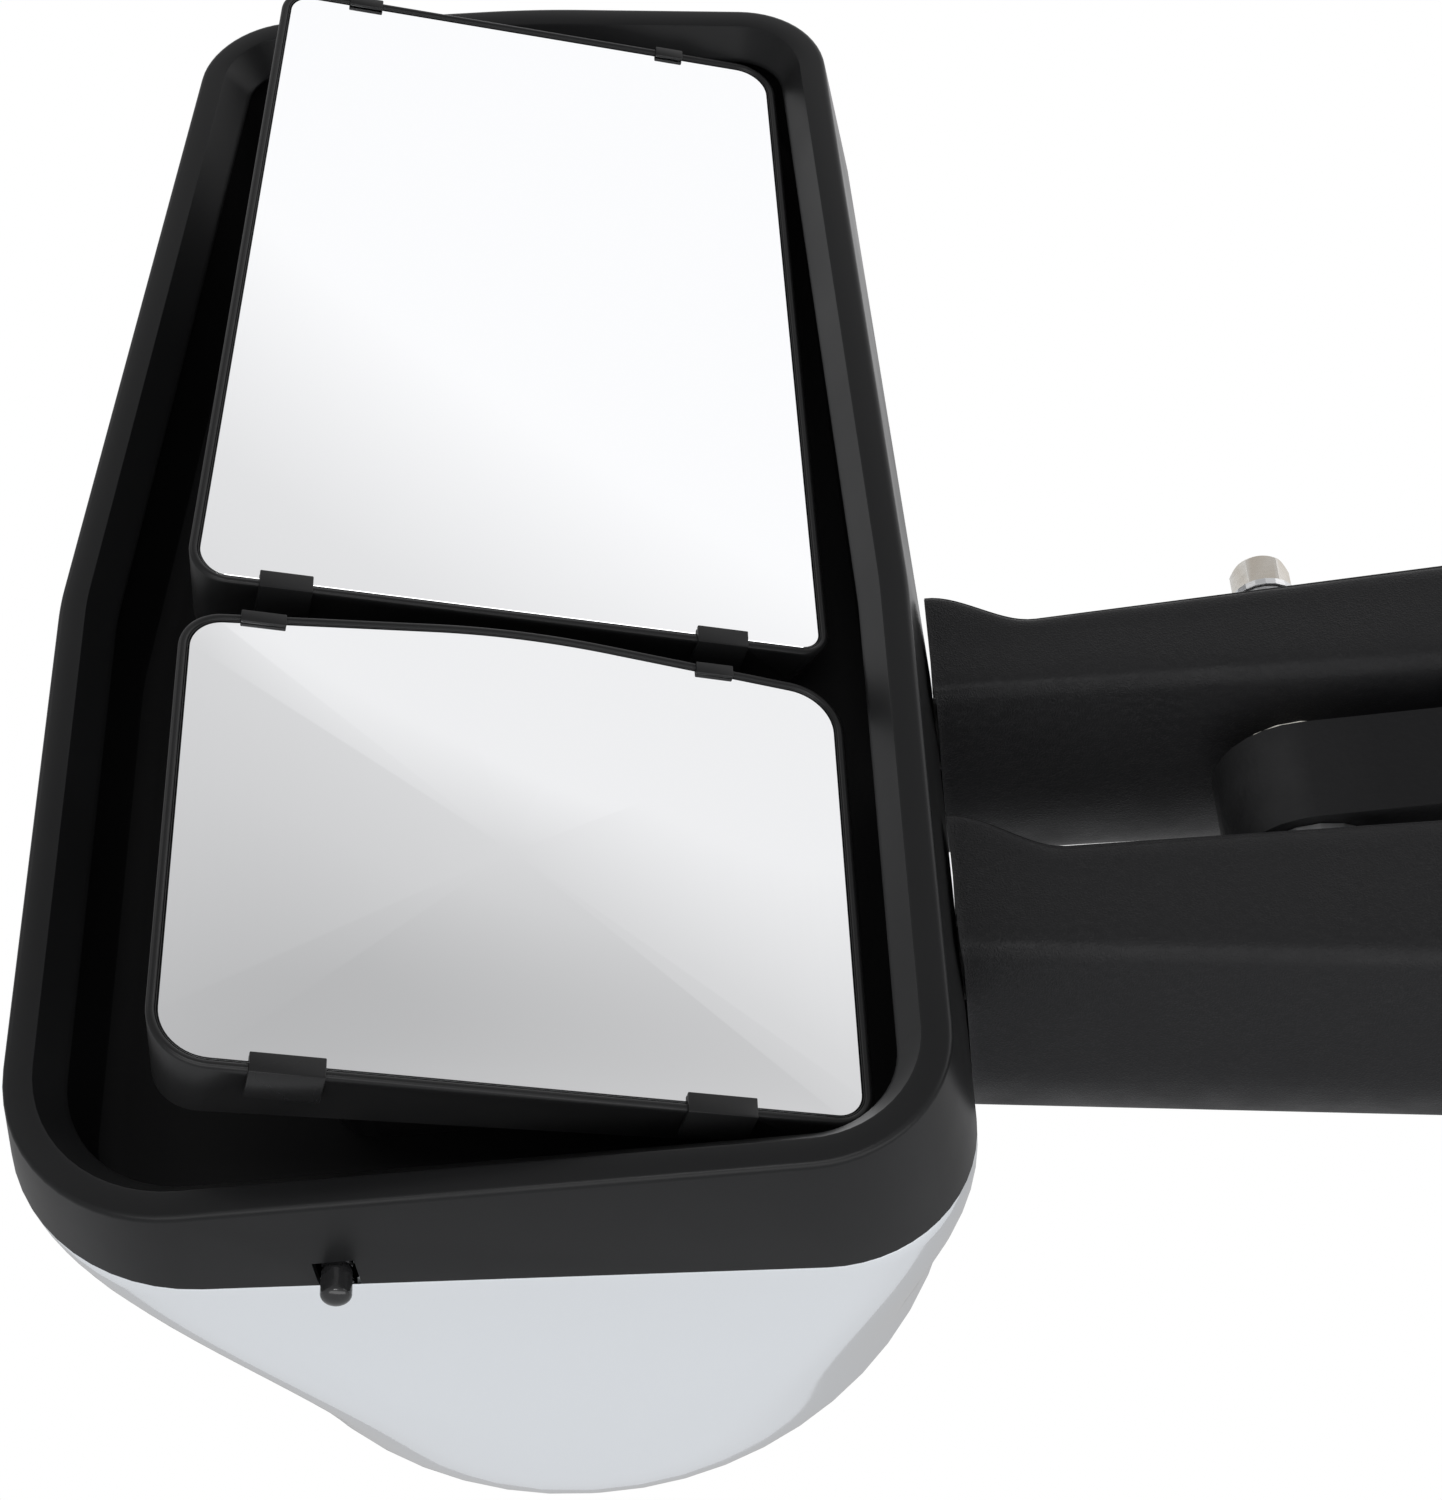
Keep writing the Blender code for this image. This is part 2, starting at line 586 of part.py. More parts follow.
def make_beam(label, side, looks, axis):
    """A hollow moulded cover, open towards the head and closed past the fold axis."""
    start = RIM_WIDTH / 2 + SIDE_FLARE * SEAM_DEPTH + HEAD_CLEARANCE
    end = HEAD_TO_PIVOT + BEAM_END

    def section(x, inset):
        near = max(0.0, 1 - (x - start) / BEAM_FLARE_RUN)
        return beam_section(x, side, inset, lift=BEAM_FLARE * near * near * (3 - 2 * near))

    def end_section(angle, inset):
        reach = (BEAM_END_CORNER - inset) * sin(angle)
        squeeze = 1 - 2 * (BEAM_END_CORNER - inset) * (1 - cos(angle)) / (BEAM_DEPTH - 2 * inset)
        return beam_section(end - BEAM_END_CORNER + reach, side, inset, squeeze)

    runs = [start + BEAM_FLARE_RUN * share for share in (0, 0.2, 0.4, 0.6, 0.8, 1)] + [end - BEAM_END_CORNER]
    turns = [radians(a) for a in (30, 60, 85)]
    outer = [section(x, 0) for x in runs] + [end_section(a, 0) for a in turns]
    inner = [section(x, BEAM_WALL) for x in runs] + [end_section(a, BEAM_WALL) for a in turns]
    count = len(outer[0])
    points, faces = loft(outer + inner[::-1])
    first_cap, last_cap = faces[-2:]
    closed_end = (len(outer) - 1) * count
    faces = [f for f in faces[:-2] if not closed_end <= f[0] < closed_end + count]
    faces.append(tuple(range(closed_end, closed_end + count)))
    faces.append(tuple(range(closed_end + count, closed_end + 2 * count)))
    for i in range(count):
        j = (i + 1) % count
        faces.append((first_cap[i], first_cap[j], last_cap[j], last_cap[i]))
    beam = add_object(f"{label}_beam_cover", (points, faces), looks["grained_plastic"], axis)
    heights = stack_heights()
    low = heights["lower_middle"] if side < 0 else heights["knuckle_top"]
    hole = rod(SLEEVE_RADIUS + BORE_PLAY, low, heights["spring"])
    cut(beam, moved(hole, Matrix.Translation(pivot_point(0))), looks["grained_plastic"])


def make_arm(looks, axis):
    heights = stack_heights()
    at_pivot = Matrix.Translation(pivot_point(0))
    bore = BOLT_RADIUS + BORE_PLAY
    make_beam("upper", 1, looks, axis)
    make_beam("lower", -1, looks, axis)
    upper_top = heights["upper_eye_top"]
    upper_eye = tube(EYE_RADIUS, bore, upper_top - UPPER_EYE_HEIGHT, upper_top)
    add_object("upper_pivot_eye", moved(upper_eye, at_pivot), looks["steel"], axis)
    lower_top = heights["lower_eye_top"]
    collar_top = heights["detent_low"] - GAP
    lower_eye = [(bore, lower_top - LOWER_EYE_HEIGHT), (EYE_RADIUS, lower_top - LOWER_EYE_HEIGHT),
                 (EYE_RADIUS, lower_top), (SLEEVE_RADIUS, lower_top), (SLEEVE_RADIUS, collar_top), (bore, collar_top)]
    add_object("lower_pivot_eye", moved(turned(lower_eye, ring=True), at_pivot), looks["steel"], axis)
    for label, height in (("upper", UPPER_TUBE_Z), ("lower", LOWER_TUBE_Z)):
        length = HEAD_TO_PIVOT - EYE_RADIUS - GAP - TUBE_INNER_X
        place = along((1, 0, 0), from_head(TUBE_INNER_X, TUBE_Y, height))
        pipe = tube(TUBE_RADIUS, TUBE_RADIUS - TUBE_WALL, 0, length)
        add_object(f"{label}_arm_tube", moved(pipe, place), looks["steel"], axis)

    # Bolt, nut, spring washers and bush share the fold axis.
    shank_low = lower_top - LOWER_EYE_HEIGHT - GAP - NUT_HEIGHT - 2 * MM
    hex_low = heights["hexagon"]
    hex_top = hex_low + HEX_HEIGHT
    flat = HEX_ACROSS / 2 / cos(pi / 6)
    head = turned([(flat, hex_low), (flat, hex_top - 1.5 * MM), (flat - 2 * MM, hex_top)], 6)
    bolt = add_object("pivot_bolt", moved(head, at_pivot), looks["nickel"], axis)
    shank = rod(BOLT_RADIUS, shank_low, hex_low + 4 * MM)
    shank = add_object("shank", moved(shank, at_pivot), looks["nickel"], axis)
    boolean(bolt, shank, "UNION")
    washer = tube(WASHER_RADIUS, bore, heights["washer"], heights["washer"] + WASHER_THICK)
    add_object("pivot_washer", moved(washer, at_pivot), looks["zinc"], axis)
    third = SPRING_HEIGHT / 3
    for index in range(3):
        low = heights["spring"] + index * third
        cone = 1.6 * MM if index % 2 else -1.6 * MM
        mid = low + third / 2
        half = third / 2 - 1.6 * MM / 2 - GAP / 2
        wave = [(bore, mid - half + cone / 2), (WASHER_RADIUS - 1 * MM, mid - half - cone / 2),
                (WASHER_RADIUS - 1 * MM, mid + half - cone / 2), (bore, mid + half + cone / 2)]
        add_object(f"spring_washer_{index + 1}", moved(turned(wave, 20, ring=True), at_pivot), looks["steel"], axis)
    flange = heights["bush"]
    bush = [(bore, upper_top + GAP), (SLEEVE_RADIUS, upper_top + GAP), (SLEEVE_RADIUS, flange), (20 * MM, flange),
            (20 * MM, flange + 6 * MM), (bore, flange + 6 * MM)]
    add_object("pivot_bush", moved(turned(bush, ring=True), at_pivot), looks["black_plastic"], axis)
    nut_top = lower_top - LOWER_EYE_HEIGHT - GAP
    nut_loops = []
    for radius, height in ((bore, 0), (flat, 0), (flat, NUT_HEIGHT), (bore, NUT_HEIGHT)):
        sides = [(radius * cos(pi * i / 3), radius * sin(pi * i / 3), nut_top - NUT_HEIGHT + height)
                 for i in range(6)]
        nut_loops.append(sides)
    nut_loops[0] = [(x / cos(pi / 6), y / cos(pi / 6), z) for x, y, z in nut_loops[0]]
    nut_loops[3] = [(x / cos(pi / 6), y / cos(pi / 6), z) for x, y, z in nut_loops[3]]
    add_object("pivot_nut", moved(loft(nut_loops, ring=True), at_pivot), looks["zinc"], axis)


def make_door_side(looks):
    """The fixed half: gasket, plate with its neck and knuckle, studs and the two rubbing plates."""
    heights = stack_heights()
    top, low = heights["knuckle_top"], heights["knuckle_low"]
    gasket_corners = [(-PLATE_WIDTH / 2, -PLATE_HEIGHT / 2, PLATE_CORNER),
                      (PLATE_WIDTH / 2, -PLATE_HEIGHT / 2, PLATE_CORNER),
                      (PLATE_WIDTH / 2, PLATE_HEIGHT / 2, PLATE_CORNER),
                      (-PLATE_WIDTH / 2, PLATE_HEIGHT / 2, PLATE_CORNER)]
    outline = rounded(gasket_corners, steps=4)

    def slab(x_low, x_high):
        return loft([[(x_low, y, z) for y, z in outline], [(x_high, y, z) for y, z in outline]])

    plate_face = -GASKET_THICK - GAP
    gasket = add_object("door_gasket", slab(-GASKET_THICK, 0), looks["rubber"])
    bracket = add_object("door_bracket", slab(plate_face - PLATE_THICK, plate_face), looks["cast_metal"])
    arc = [radians(90 + 180 * i / 14) for i in range(15)]
    plan = [(PIVOT_X + KNUCKLE_RADIUS * cos(a), KNUCKLE_RADIUS * sin(a)) for a in arc]
    root = plate_face - PLATE_THICK / 2
    plan += [(root - 24 * MM, -KNUCKLE_RADIUS - 2 * MM), (root, -KNUCKLE_RADIUS - 14 * MM)]
    plan += [(root, KNUCKLE_RADIUS + 14 * MM), (root - 24 * MM, KNUCKLE_RADIUS + 2 * MM)]
    neck = loft([[(x, y, HEAD_Z + low) for x, y in plan], [(x, y, HEAD_Z + top) for x, y in plan]])
    join(bracket, neck, looks["cast_metal"])
    bore = rod(BOLT_RADIUS + BORE_PLAY, low - 5 * MM, top + 5 * MM)
    cut(bracket, moved(bore, Matrix.Translation(pivot_point(0))), looks["cast_metal"])
    places = [(y * (PLATE_WIDTH / 2 - STUD_INSET), z * (PLATE_HEIGHT / 2 - STUD_INSET))
              for y in (-1, 1) for z in (-1, 1)]
    for index, (y, z) in enumerate(places):
        hole = rod(STUD_RADIUS + GAP, -PLATE_THICK * 2, PLATE_THICK * 2, 16)
        cut(bracket, moved(hole, along((1, 0, 0), (plate_face, y, z))), looks["cast_metal"])
        hole = rod(STUD_RADIUS + GAP, -PLATE_THICK, PLATE_THICK, 16)
        cut(gasket, moved(hole, along((1, 0, 0), (0, y, z))), looks["rubber"])
        nut = plate_face - PLATE_THICK - GAP
        profile = [(3 * MM, nut - 4 * MM), (7 * MM, nut - 4 * MM), (7 * MM, nut), (STUD_RADIUS, nut),
                   (STUD_RADIUS, nut + STUD_LENGTH), (STUD_RADIUS - 1 * MM, nut + STUD_LENGTH + 1 * MM)]
        add_object(f"door_stud_{index + 1}", moved(turned(profile, 16), along((1, 0, 0), (0, y, z))), looks["zinc"])
    at_pivot = Matrix.Translation(pivot_point(0))
    inner = BOLT_RADIUS + BORE_PLAY
    seat, face = heights["thrust_top"] - THRUST_THICK, heights["thrust_top"]
    sleeve_top = heights["upper_eye_top"] - UPPER_EYE_HEIGHT - GAP
    thrust = [(inner, seat), (26 * MM, seat), (26 * MM, face), (SLEEVE_RADIUS, face), (SLEEVE_RADIUS, sleeve_top),
              (inner, sleeve_top)]
    add_object("thrust_washer", moved(turned(thrust, ring=True), at_pivot), looks["nylon"])
    detent = tube(26 * MM, inner, heights["detent_low"], heights["detent_low"] + THRUST_THICK)
    add_object("detent_plate", moved(detent, at_pivot), looks["steel"])


# ---------------------------------------------------------------- glasses and drives

UPPER_GLASS = [(-110, -148, 14), (114, -148, 10), (105.5, 150, 16), (-92, 150, 12)]
LOWER_GLASS = [(-110, -88, 20), (115, -88, 12), (115, 84, 20), (3, 95, 300), (-110, 84, 15)]


def glass_corners(table):
    return [(x * MM, z * MM, r * MM) for x, z, r in table]


def make_glass(label, table, crown, rest_tilt, pivot, axes, looks):
    """One glass with its holder, heater, cross, plungers, gears, motors and base."""
    corners = glass_corners(table)
    panned = Matrix.Translation(pivot) @ Matrix.Rotation(AIM + REST_PAN, 4, "Z")
    swung = panned @ Matrix.Rotation(rest_tilt, 4, "X")
    aimed = Matrix.Translation(pivot) @ Matrix.Rotation(AIM, 4, "Z")
    front = -GLASS_STAND

    def loop(grow, y):
        return [(x, y, z) for x, z in rounded(corners, grow, 4)]

    # A convex glass is a few rings that bulge forwards.
    rings = [(-HOLDER_LIP - GAP, 0.0)]
    if crown:
        rings += [(-22 * MM, 0.45), (-44 * MM, 0.78), (-66 * MM, 0.94)]
    face = [loop(grow, front - crown * rise) for grow, rise in rings]
    back = loop(-HOLDER_LIP - GAP, front + GLASS_THICK)
    add_object(f"{label}_glass", moved(loft([back] + face), swung), looks["mirror"], axes["tilt"])

    heater_y = front + GLASS_THICK + GAP
    heater = loft([loop(-9 * MM, heater_y), loop(-9 * MM, heater_y + HEATER_THICK)])
    add_object(f"{label}_heater_pad", moved(heater, swung), looks["heater"], axes["tilt"])

    plate_front = heater_y + HEATER_THICK + GAP
    plate_back = plate_front + HOLDER_PLATE

    def skirt_loop(grow):
        return [(x, front + SKIRT_DEPTH - SKIRT_SLANT * x, z) for x, z in rounded(corners, grow, 4)]

    loops = [
        loop(-HOLDER_LIP, plate_front),
        loop(-HOLDER_LIP, front - 0.4 * MM),
        loop(-1.2 * MM, front - 1.0 * MM),
        loop(0, front + 0.4 * MM),
        skirt_loop(-SKIRT_TAPER),
        skirt_loop(-SKIRT_TAPER - SKIRT_WALL),
        loop(-HOLDER_LIP - SKIRT_WALL, plate_back),
    ]
    holder = add_object(f"{label}_holder", moved(loft(loops), swung), looks["black_plastic"], axes["tilt"])
    for side in (-1, 1):
        inner, outer = sorted((side * EAR_INNER, side * EAR_OUTER))
        ear = box((inner, plate_back - 1 * MM, -EAR_HALF), (outer, EAR_REACH, EAR_HALF))
        join(holder, moved(ear, swung), looks["black_plastic"])
    pin_hole = moved(rod(PIN_RADIUS + GAP, -EAR_OUTER * 1.5, EAR_OUTER * 1.5, 16), swung @ along((1, 0, 0), (0, 0, 0)))
    cut(holder, pin_hole, looks["black_plastic"])
    for x, z in ((LEVER, 0), (0, LEVER)):
        post = swung @ along((0, 1, 0), (x, 0, z))
        join(holder, moved(rod(CUP_BORE + CUP_WALL, plate_back - 1 * MM, CUP_DEPTH, 16), post), looks["black_plastic"])
        cut(holder, moved(rod(CUP_BORE, -PLUNGER_BALL - 2 * MM, CUP_DEPTH * 2, 16), post), looks["black_plastic"])

    upright = moved(rod(PIN_RADIUS, -PIN_HALF, PIN_HALF, 14), panned)
    cross = add_object(f"{label}_cross", upright, looks["steel"], axes["pan"])
    level = moved(rod(PIN_RADIUS, -PIN_HALF, PIN_HALF, 14), panned @ along((1, 0, 0), (0, 0, 0)))
    join(cross, level, looks["steel"])
    hub = moved(box((-7 * MM, -7 * MM, -7 * MM), (7 * MM, 7 * MM, 7 * MM)), panned)
    join(cross, hub, looks["steel"])

    make_drive_base(label, aimed, pivot, axes["head"], looks)
    drives = (("pan", Vector((LEVER, 0, 0)), LEVER * sin(REST_PAN)),
              ("tilt", Vector((0, 0, LEVER)), -LEVER * sin(rest_tilt)))
    for name, spot, travel in drives:
        tip = aimed @ along((0, 1, 0), spot + Vector((0, travel, 0)))
        ball = PLUNGER_BALL
        profile = [(1.2 * MM, -ball), (0.75 * ball, -0.7 * ball), (ball, 0), (0.8 * ball, 0.6 * ball),
                   (0.6 * PLUNGER_RADIUS, ball), (PLUNGER_RADIUS, ball + 2.5 * MM), (PLUNGER_RADIUS, PLUNGER_LENGTH)]
        add_object(f"{label}_{name}_plunger", moved(turned(profile, 16), tip), looks["nylon"], axes[f"{name}_drive"])
        hub_place = aimed @ along((0, 1, 0), spot + Vector((0, BASE_FRONT + BASE_WALL + GAP, 0)))
        add_object(f"{label}_{name}_gear", moved(gear(), hub_place), looks["nylon"], axes[f"{name}_gear"])


def gear():
    """A spur gear with a plain bore, its teeth as alternating radii."""
    steps = GEAR_TEETH * 2
    loops = []
    for outer, height in ((False, 0), (True, 0), (True, GEAR_THICK), (False, GEAR_THICK)):
        ring = []
        for i in range(steps):
            angle = 2 * pi * i / steps
            radius = PLUNGER_RADIUS + GAP if not outer else GEAR_RADIUS - (1.8 * MM if i % 2 else 0)
            ring.append((radius * cos(angle), radius * sin(angle), height))
        loops.append(ring)
    return loft(loops, ring=True)


def make_drive_base(label, aimed, pivot, axis, looks):
    """The drive's casing: open at the back, where the housing closes it. Its back edge is square to the head."""
    square = [(-BASE_HALF, -BASE_HALF, 16 * MM), (BASE_HALF, -BASE_HALF, 16 * MM),
              (BASE_HALF, BASE_HALF, 16 * MM), (-BASE_HALF, BASE_HALF, 16 * MM)]
    back_y = HEAD.y + BOWL_BACK_Y - GAP

    def front_loop(grow, y):
        return [aimed @ Vector((x, y, z)) for x, z in rounded(square, grow, 3)]

    def back_loop(grow):
        return [Vector((p.x, back_y, p.z)) for p in front_loop(grow, BASE_FRONT)]

    wall = BASE_WALL
    shell = loft([front_loop(-2 * MM, BASE_FRONT), front_loop(0, BASE_FRONT + 2 * MM), back_loop(0),
                  back_loop(-wall), front_loop(-wall, BASE_FRONT + wall)])
    base = add_object(f"{label}_drive_base", shell, looks["black_plastic"], axis)
    for side in (-1, 1):
        low, high = sorted((side * EAR_INNER, side * EAR_OUTER))
        ear = box((-EAR_HALF, -EAR_REACH, low), (EAR_HALF, BASE_FRONT + 1 * MM, high))
        join(base, moved(ear, aimed), looks["black_plastic"])
    cut(base, moved(rod(PIN_RADIUS + GAP, -EAR_OUTER * 1.5, EAR_OUTER * 1.5, 16), aimed), looks["black_plastic"])
    for x, z in ((LEVER, 0), (0, LEVER)):
        guide = moved(rod(PLUNGER_RADIUS + GAP, 0, 30 * MM, 16), aimed @ along((0, 1, 0), (x, 0, z)))
        cut(base, guide, looks["black_plastic"])
    seat = BASE_FRONT + BASE_WALL + GAP + MOTOR_RADIUS
    for name, x, z in (("pan", 30 * MM, -38 * MM), ("tilt", -34 * MM, 22 * MM)):
        place = aimed @ along((-1, 0, 0) if name == "pan" else (0, 0, -1), (x, seat, z))
        motor = [(2 * MM, -4 * MM), (2 * MM, 0), (MOTOR_RADIUS, 0), (MOTOR_RADIUS, MOTOR_LENGTH)]
        add_object(f"{label}_{name}_motor", moved(turned(motor, 14), place), looks["zinc"], axis)


def glass_axes(label, pivot, head_axis):
    """The empties that carry one glass's moving pieces, each on its joint's axis."""
    turn = Matrix.Rotation(AIM, 3, "Z")
    spots = {"pan": Vector((0, 0, 0)), "tilt": Vector((0, 0, 0)),
             "pan_drive": Vector((LEVER, 0, 0)), "tilt_drive": Vector((0, 0, LEVER)),
             "pan_gear": Vector((LEVER, 0, 0)), "tilt_gear": Vector((0, 0, LEVER))}
    axes = {name: add_axis(f"{label}_{name}_axis", pivot + turn @ spot) for name, spot in spots.items()}
    axes["head"] = head_axis
    return axes


def main():
    clear_scene()
    looks = {
        "black_plastic": material("black_plastic", (0.022, 0.022, 0.024), 0.42),
        "grained_plastic": material("grained_plastic", (0.016, 0.016, 0.018), 0.5),
        "chrome": material("chrome", (0.85, 0.87, 0.9), 0.06, 1.0),
        "mirror": material("mirror", (0.9, 0.91, 0.92), 0.02, 1.0),
        "heater": material("heater", (0.55, 0.32, 0.12), 0.6),
        "steel": material("steel", (0.32, 0.33, 0.35), 0.4, 1.0),
        "zinc": material("zinc", (0.62, 0.63, 0.64), 0.35, 1.0),
        "nickel": material("nickel", (0.6, 0.56, 0.5), 0.3, 1.0),
        "cast_metal": material("cast_metal", (0.03, 0.03, 0.032), 0.55),
        "rubber": material("rubber", (0.02, 0.02, 0.02), 0.85),
        "nylon": material("nylon", (0.75, 0.73, 0.68), 0.5),
    }
    fold = add_axis("fold_axis", pivot_point(0))
    make_door_side(looks)
    make_bezel(looks, fold)
    make_rear_cover(looks, fold)
    make_inner_housing(looks, fold)
    make_head_frame(looks, fold)
    make_sensor(looks, fold)
    make_arm(looks, fold)
    glasses = (("upper", UPPER_GLASS, 0.0, UPPER_REST_TILT, UPPER_PIVOT_Z),
               ("lower", LOWER_GLASS, LOWER_GLASS_CROWN, LOWER_REST_TILT, LOWER_PIVOT_Z))
    for label, table, crown, rest_tilt, height in glasses:
        pivot = from_head(GLASS_PIVOT_X, GLASS_PIVOT_Y, height)
        make_glass(label, table, crown, rest_tilt, pivot, glass_axes(label, pivot, fold), looks)


main()
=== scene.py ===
# %% [markdown]
# # A door mirror for a heavy vehicle
#
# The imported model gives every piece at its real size. It is loaded as a fixed frame, and the pieces that
# show get finer meshes and real finishes around it. Nothing that moves or fits is placed anew here:
# places come from the frame's boxes and joints.

# %% Load the frame
import json
from math import acos, cos, pi, radians, sin, tan

import bmesh
import bpy
from mathutils import Matrix, Vector


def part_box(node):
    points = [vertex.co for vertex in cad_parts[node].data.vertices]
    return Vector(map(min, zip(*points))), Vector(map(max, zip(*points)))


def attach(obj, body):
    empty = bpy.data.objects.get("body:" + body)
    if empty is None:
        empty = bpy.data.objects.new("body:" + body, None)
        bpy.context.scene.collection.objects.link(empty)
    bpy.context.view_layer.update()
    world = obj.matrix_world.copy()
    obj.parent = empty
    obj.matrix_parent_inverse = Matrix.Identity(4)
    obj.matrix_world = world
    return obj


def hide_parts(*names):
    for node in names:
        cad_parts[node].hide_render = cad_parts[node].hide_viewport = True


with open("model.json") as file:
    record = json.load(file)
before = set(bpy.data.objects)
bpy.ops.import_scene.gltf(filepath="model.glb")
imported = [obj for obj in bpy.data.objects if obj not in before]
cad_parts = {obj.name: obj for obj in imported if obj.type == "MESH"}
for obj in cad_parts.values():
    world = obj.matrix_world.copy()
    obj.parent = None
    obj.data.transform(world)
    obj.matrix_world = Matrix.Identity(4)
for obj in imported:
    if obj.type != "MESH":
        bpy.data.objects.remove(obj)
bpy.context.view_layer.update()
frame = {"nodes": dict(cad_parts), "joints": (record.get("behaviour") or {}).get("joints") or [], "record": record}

# %% [markdown]
# ## Where things are
#
# The joints say where the fold axis and the two glass pivots are. The head's own outline is given from
# the middle of its rim, with x towards the door, y forwards and z up, so that every head piece shares
# one set of sizes.

# %% Reference points
MM = 0.001
GAP = 0.3 * MM
JOINTS = {joint["name"]: joint for joint in frame["joints"]}
FOLD = Vector(JOINTS["arm_fold"]["pos_m"])
PIVOTS = {label: Vector(JOINTS[f"{label}_pan"]["pos_m"]) for label in ("upper", "lower")}
HEAD = PIVOTS["upper"] - Vector((5, 11, 85)) * MM
TILT_AXIS = Vector(JOINTS["upper_tilt"]["axis"])
PAN = Vector((1, 0, 0)).angle(TILT_AXIS)
REST_TILT = {"upper": radians(2), "lower": 0.0}
print("head centre", tuple(round(value, 4) for value in HEAD), "pan", round(PAN, 3))


def from_head(x, y, z):
    return HEAD + Vector((x, y, z))


# %% [markdown]
# ## Small helpers
#
# A piece is made from points and faces, shaded smooth, and split where two faces meet at a sharp angle.
# Modifiers such as Bevel and Boolean finish a mesh and are then baked into it, so that each object is a
# plain mesh that sits at the origin with its place in its points.

# %% Mesh helpers
SHARP = radians(32)


def add_mesh(name, mesh_data, look):
    points, faces = mesh_data
    mesh = bpy.data.meshes.new(name)
    mesh.from_pydata([Vector(point) for point in points], [], faces)
    work = bmesh.new()
    work.from_mesh(mesh)
    bmesh.ops.recalc_face_normals(work, faces=work.faces)
    work.to_mesh(mesh)
    work.free()
    mesh.materials.append(look)
    obj = bpy.data.objects.new(name, mesh)
    bpy.context.scene.collection.objects.link(obj)
    shade(obj)
    return obj


def shade(obj, angle=SHARP):
    obj.data.shade_smooth()
    obj.data.set_sharp_from_angle(angle=angle)


def bake(obj, look=None):
    """Turns the object and its modifiers into one plain mesh."""
    bpy.context.view_layer.update()
    graph = bpy.context.evaluated_depsgraph_get()
    mesh = bpy.data.meshes.new_from_object(obj.evaluated_get(graph))
    obj.modifiers.clear()
    obj.data = mesh
    if look:
        mesh.materials.clear()
        mesh.materials.append(look)
    return obj


def boolean(obj, mesh_data, operation):
    cutter = add_mesh("cutter", mesh_data, obj.data.materials[0])
    step = obj.modifiers.new(operation.lower(), "BOOLEAN")
    step.operation = operation
    step.object = cutter
    step.solver = "EXACT"
    look = obj.data.materials[0]
    bake(obj, look)
    bpy.data.objects.remove(cutter, do_unlink=True)
    shade(obj)


def bevel(obj, width, segments=3, angle=30):
    step = obj.modifiers.new("bevel", "BEVEL")
    step.width = width
    step.segments = segments
    step.limit_method = "ANGLE"
    step.angle_limit = radians(angle)
    step.harden_normals = True
    look = obj.data.materials[0]
    bake(obj, look)


# %% [markdown]
# A skin over a row of loops makes most of the shells. Turned pieces are loops round Z, and an outline is
# a few corners with a radius each, so its round stretches are true arcs.

# %% Skins, turned shapes and outlines
ARC_STEPS = 14


def loft(loops, ring=False):
    count = len(loops[0])
    points = [point for loop in loops for point in loop]
    rows = len(loops) if ring else len(loops) - 1
    faces = []
    for row in range(rows):
        here, there = row * count, (row + 1) % len(loops) * count
        for i in range(count):
            j = (i + 1) % count
            faces.append((here + i, here + j, there + j, there + i))
    if not ring:
        faces.append(tuple(range(count)))
        faces.append(tuple(range((len(loops) - 1) * count, len(loops) * count)))
    return points, faces


def shell(outer, inner):
    """Two open cups of equal loops, joined at their first loops and each closed at its last."""
    count = len(outer[0])
    points, faces = loft(outer + inner[::-1])
    crown = (len(outer) - 1) * count
    last = (2 * len(outer) - 1) * count
    faces = [face for face in faces[:-2] if not crown <= face[0] < crown + count]
    faces.append(tuple(range(crown, crown + count)))
    faces.append(tuple(range(crown + count, crown + 2 * count)))
    for i in range(count):
        j = (i + 1) % count
        faces.append((i, j, last + j, last + i))
    return points, faces


def moved(mesh_data, matrix):
    points, faces = mesh_data
    return [matrix @ Vector(point) for point in points], faces


def turned(profile, steps=48, ring=False):
    loops = [[(radius * cos(2 * pi * i / steps), radius * sin(2 * pi * i / steps), height) for i in range(steps)]
             for radius, height in profile]
    return loft(loops, ring)


def box(low, high):
    (ax, ay, az), (bx, by, bz) = low, high
    floor = [(ax, ay, az), (bx, ay, az), (bx, by, az), (ax, by, az)]
    return loft([floor, [(x, y, bz) for x, y, _ in floor]])


def along(axis, place):
    return Matrix.Translation(place) @ Vector(axis).to_track_quat("Z", "Y").to_matrix().to_4x4()


def rounded(corners, grow=0.0, steps=ARC_STEPS):
    """A convex outline of (x, z, radius) corners, counterclockwise, moved outwards by `grow`."""
    flat = [Vector((x, z)) for x, z, _ in corners]
    edges = [(flat[(i + 1) % len(flat)] - flat[i]).normalized() for i in range(len(flat))]
    outline = []
    for i, (_, _, radius) in enumerate(corners):
        before, after = edges[i - 1], edges[i]
        turn = acos(max(-1.0, min(1.0, before.dot(after))))
        normal = Vector((before.y, -before.x))
        corner = flat[i] + normal * grow + before * grow * tan(turn / 2)
        arc = max(radius + grow, 0.5 * MM)
        centre = corner - before * arc * tan(turn / 2) - normal * arc
        for k in range(steps + 1):
            angle = turn * k / steps
            outline.append(centre + (normal * cos(angle) + before * sin(angle)) * arc)
    return outline


# %% [markdown]
# ## Effects that several finishes share
#
# Moulded plastic is never quite even. Three node groups make the patterns: a fine spark-eroded texture,
# a leather grain of small rounded cells, and a mask of wear and dust. Each puts out only a height or a
# mask, and each material decides what to do with it.

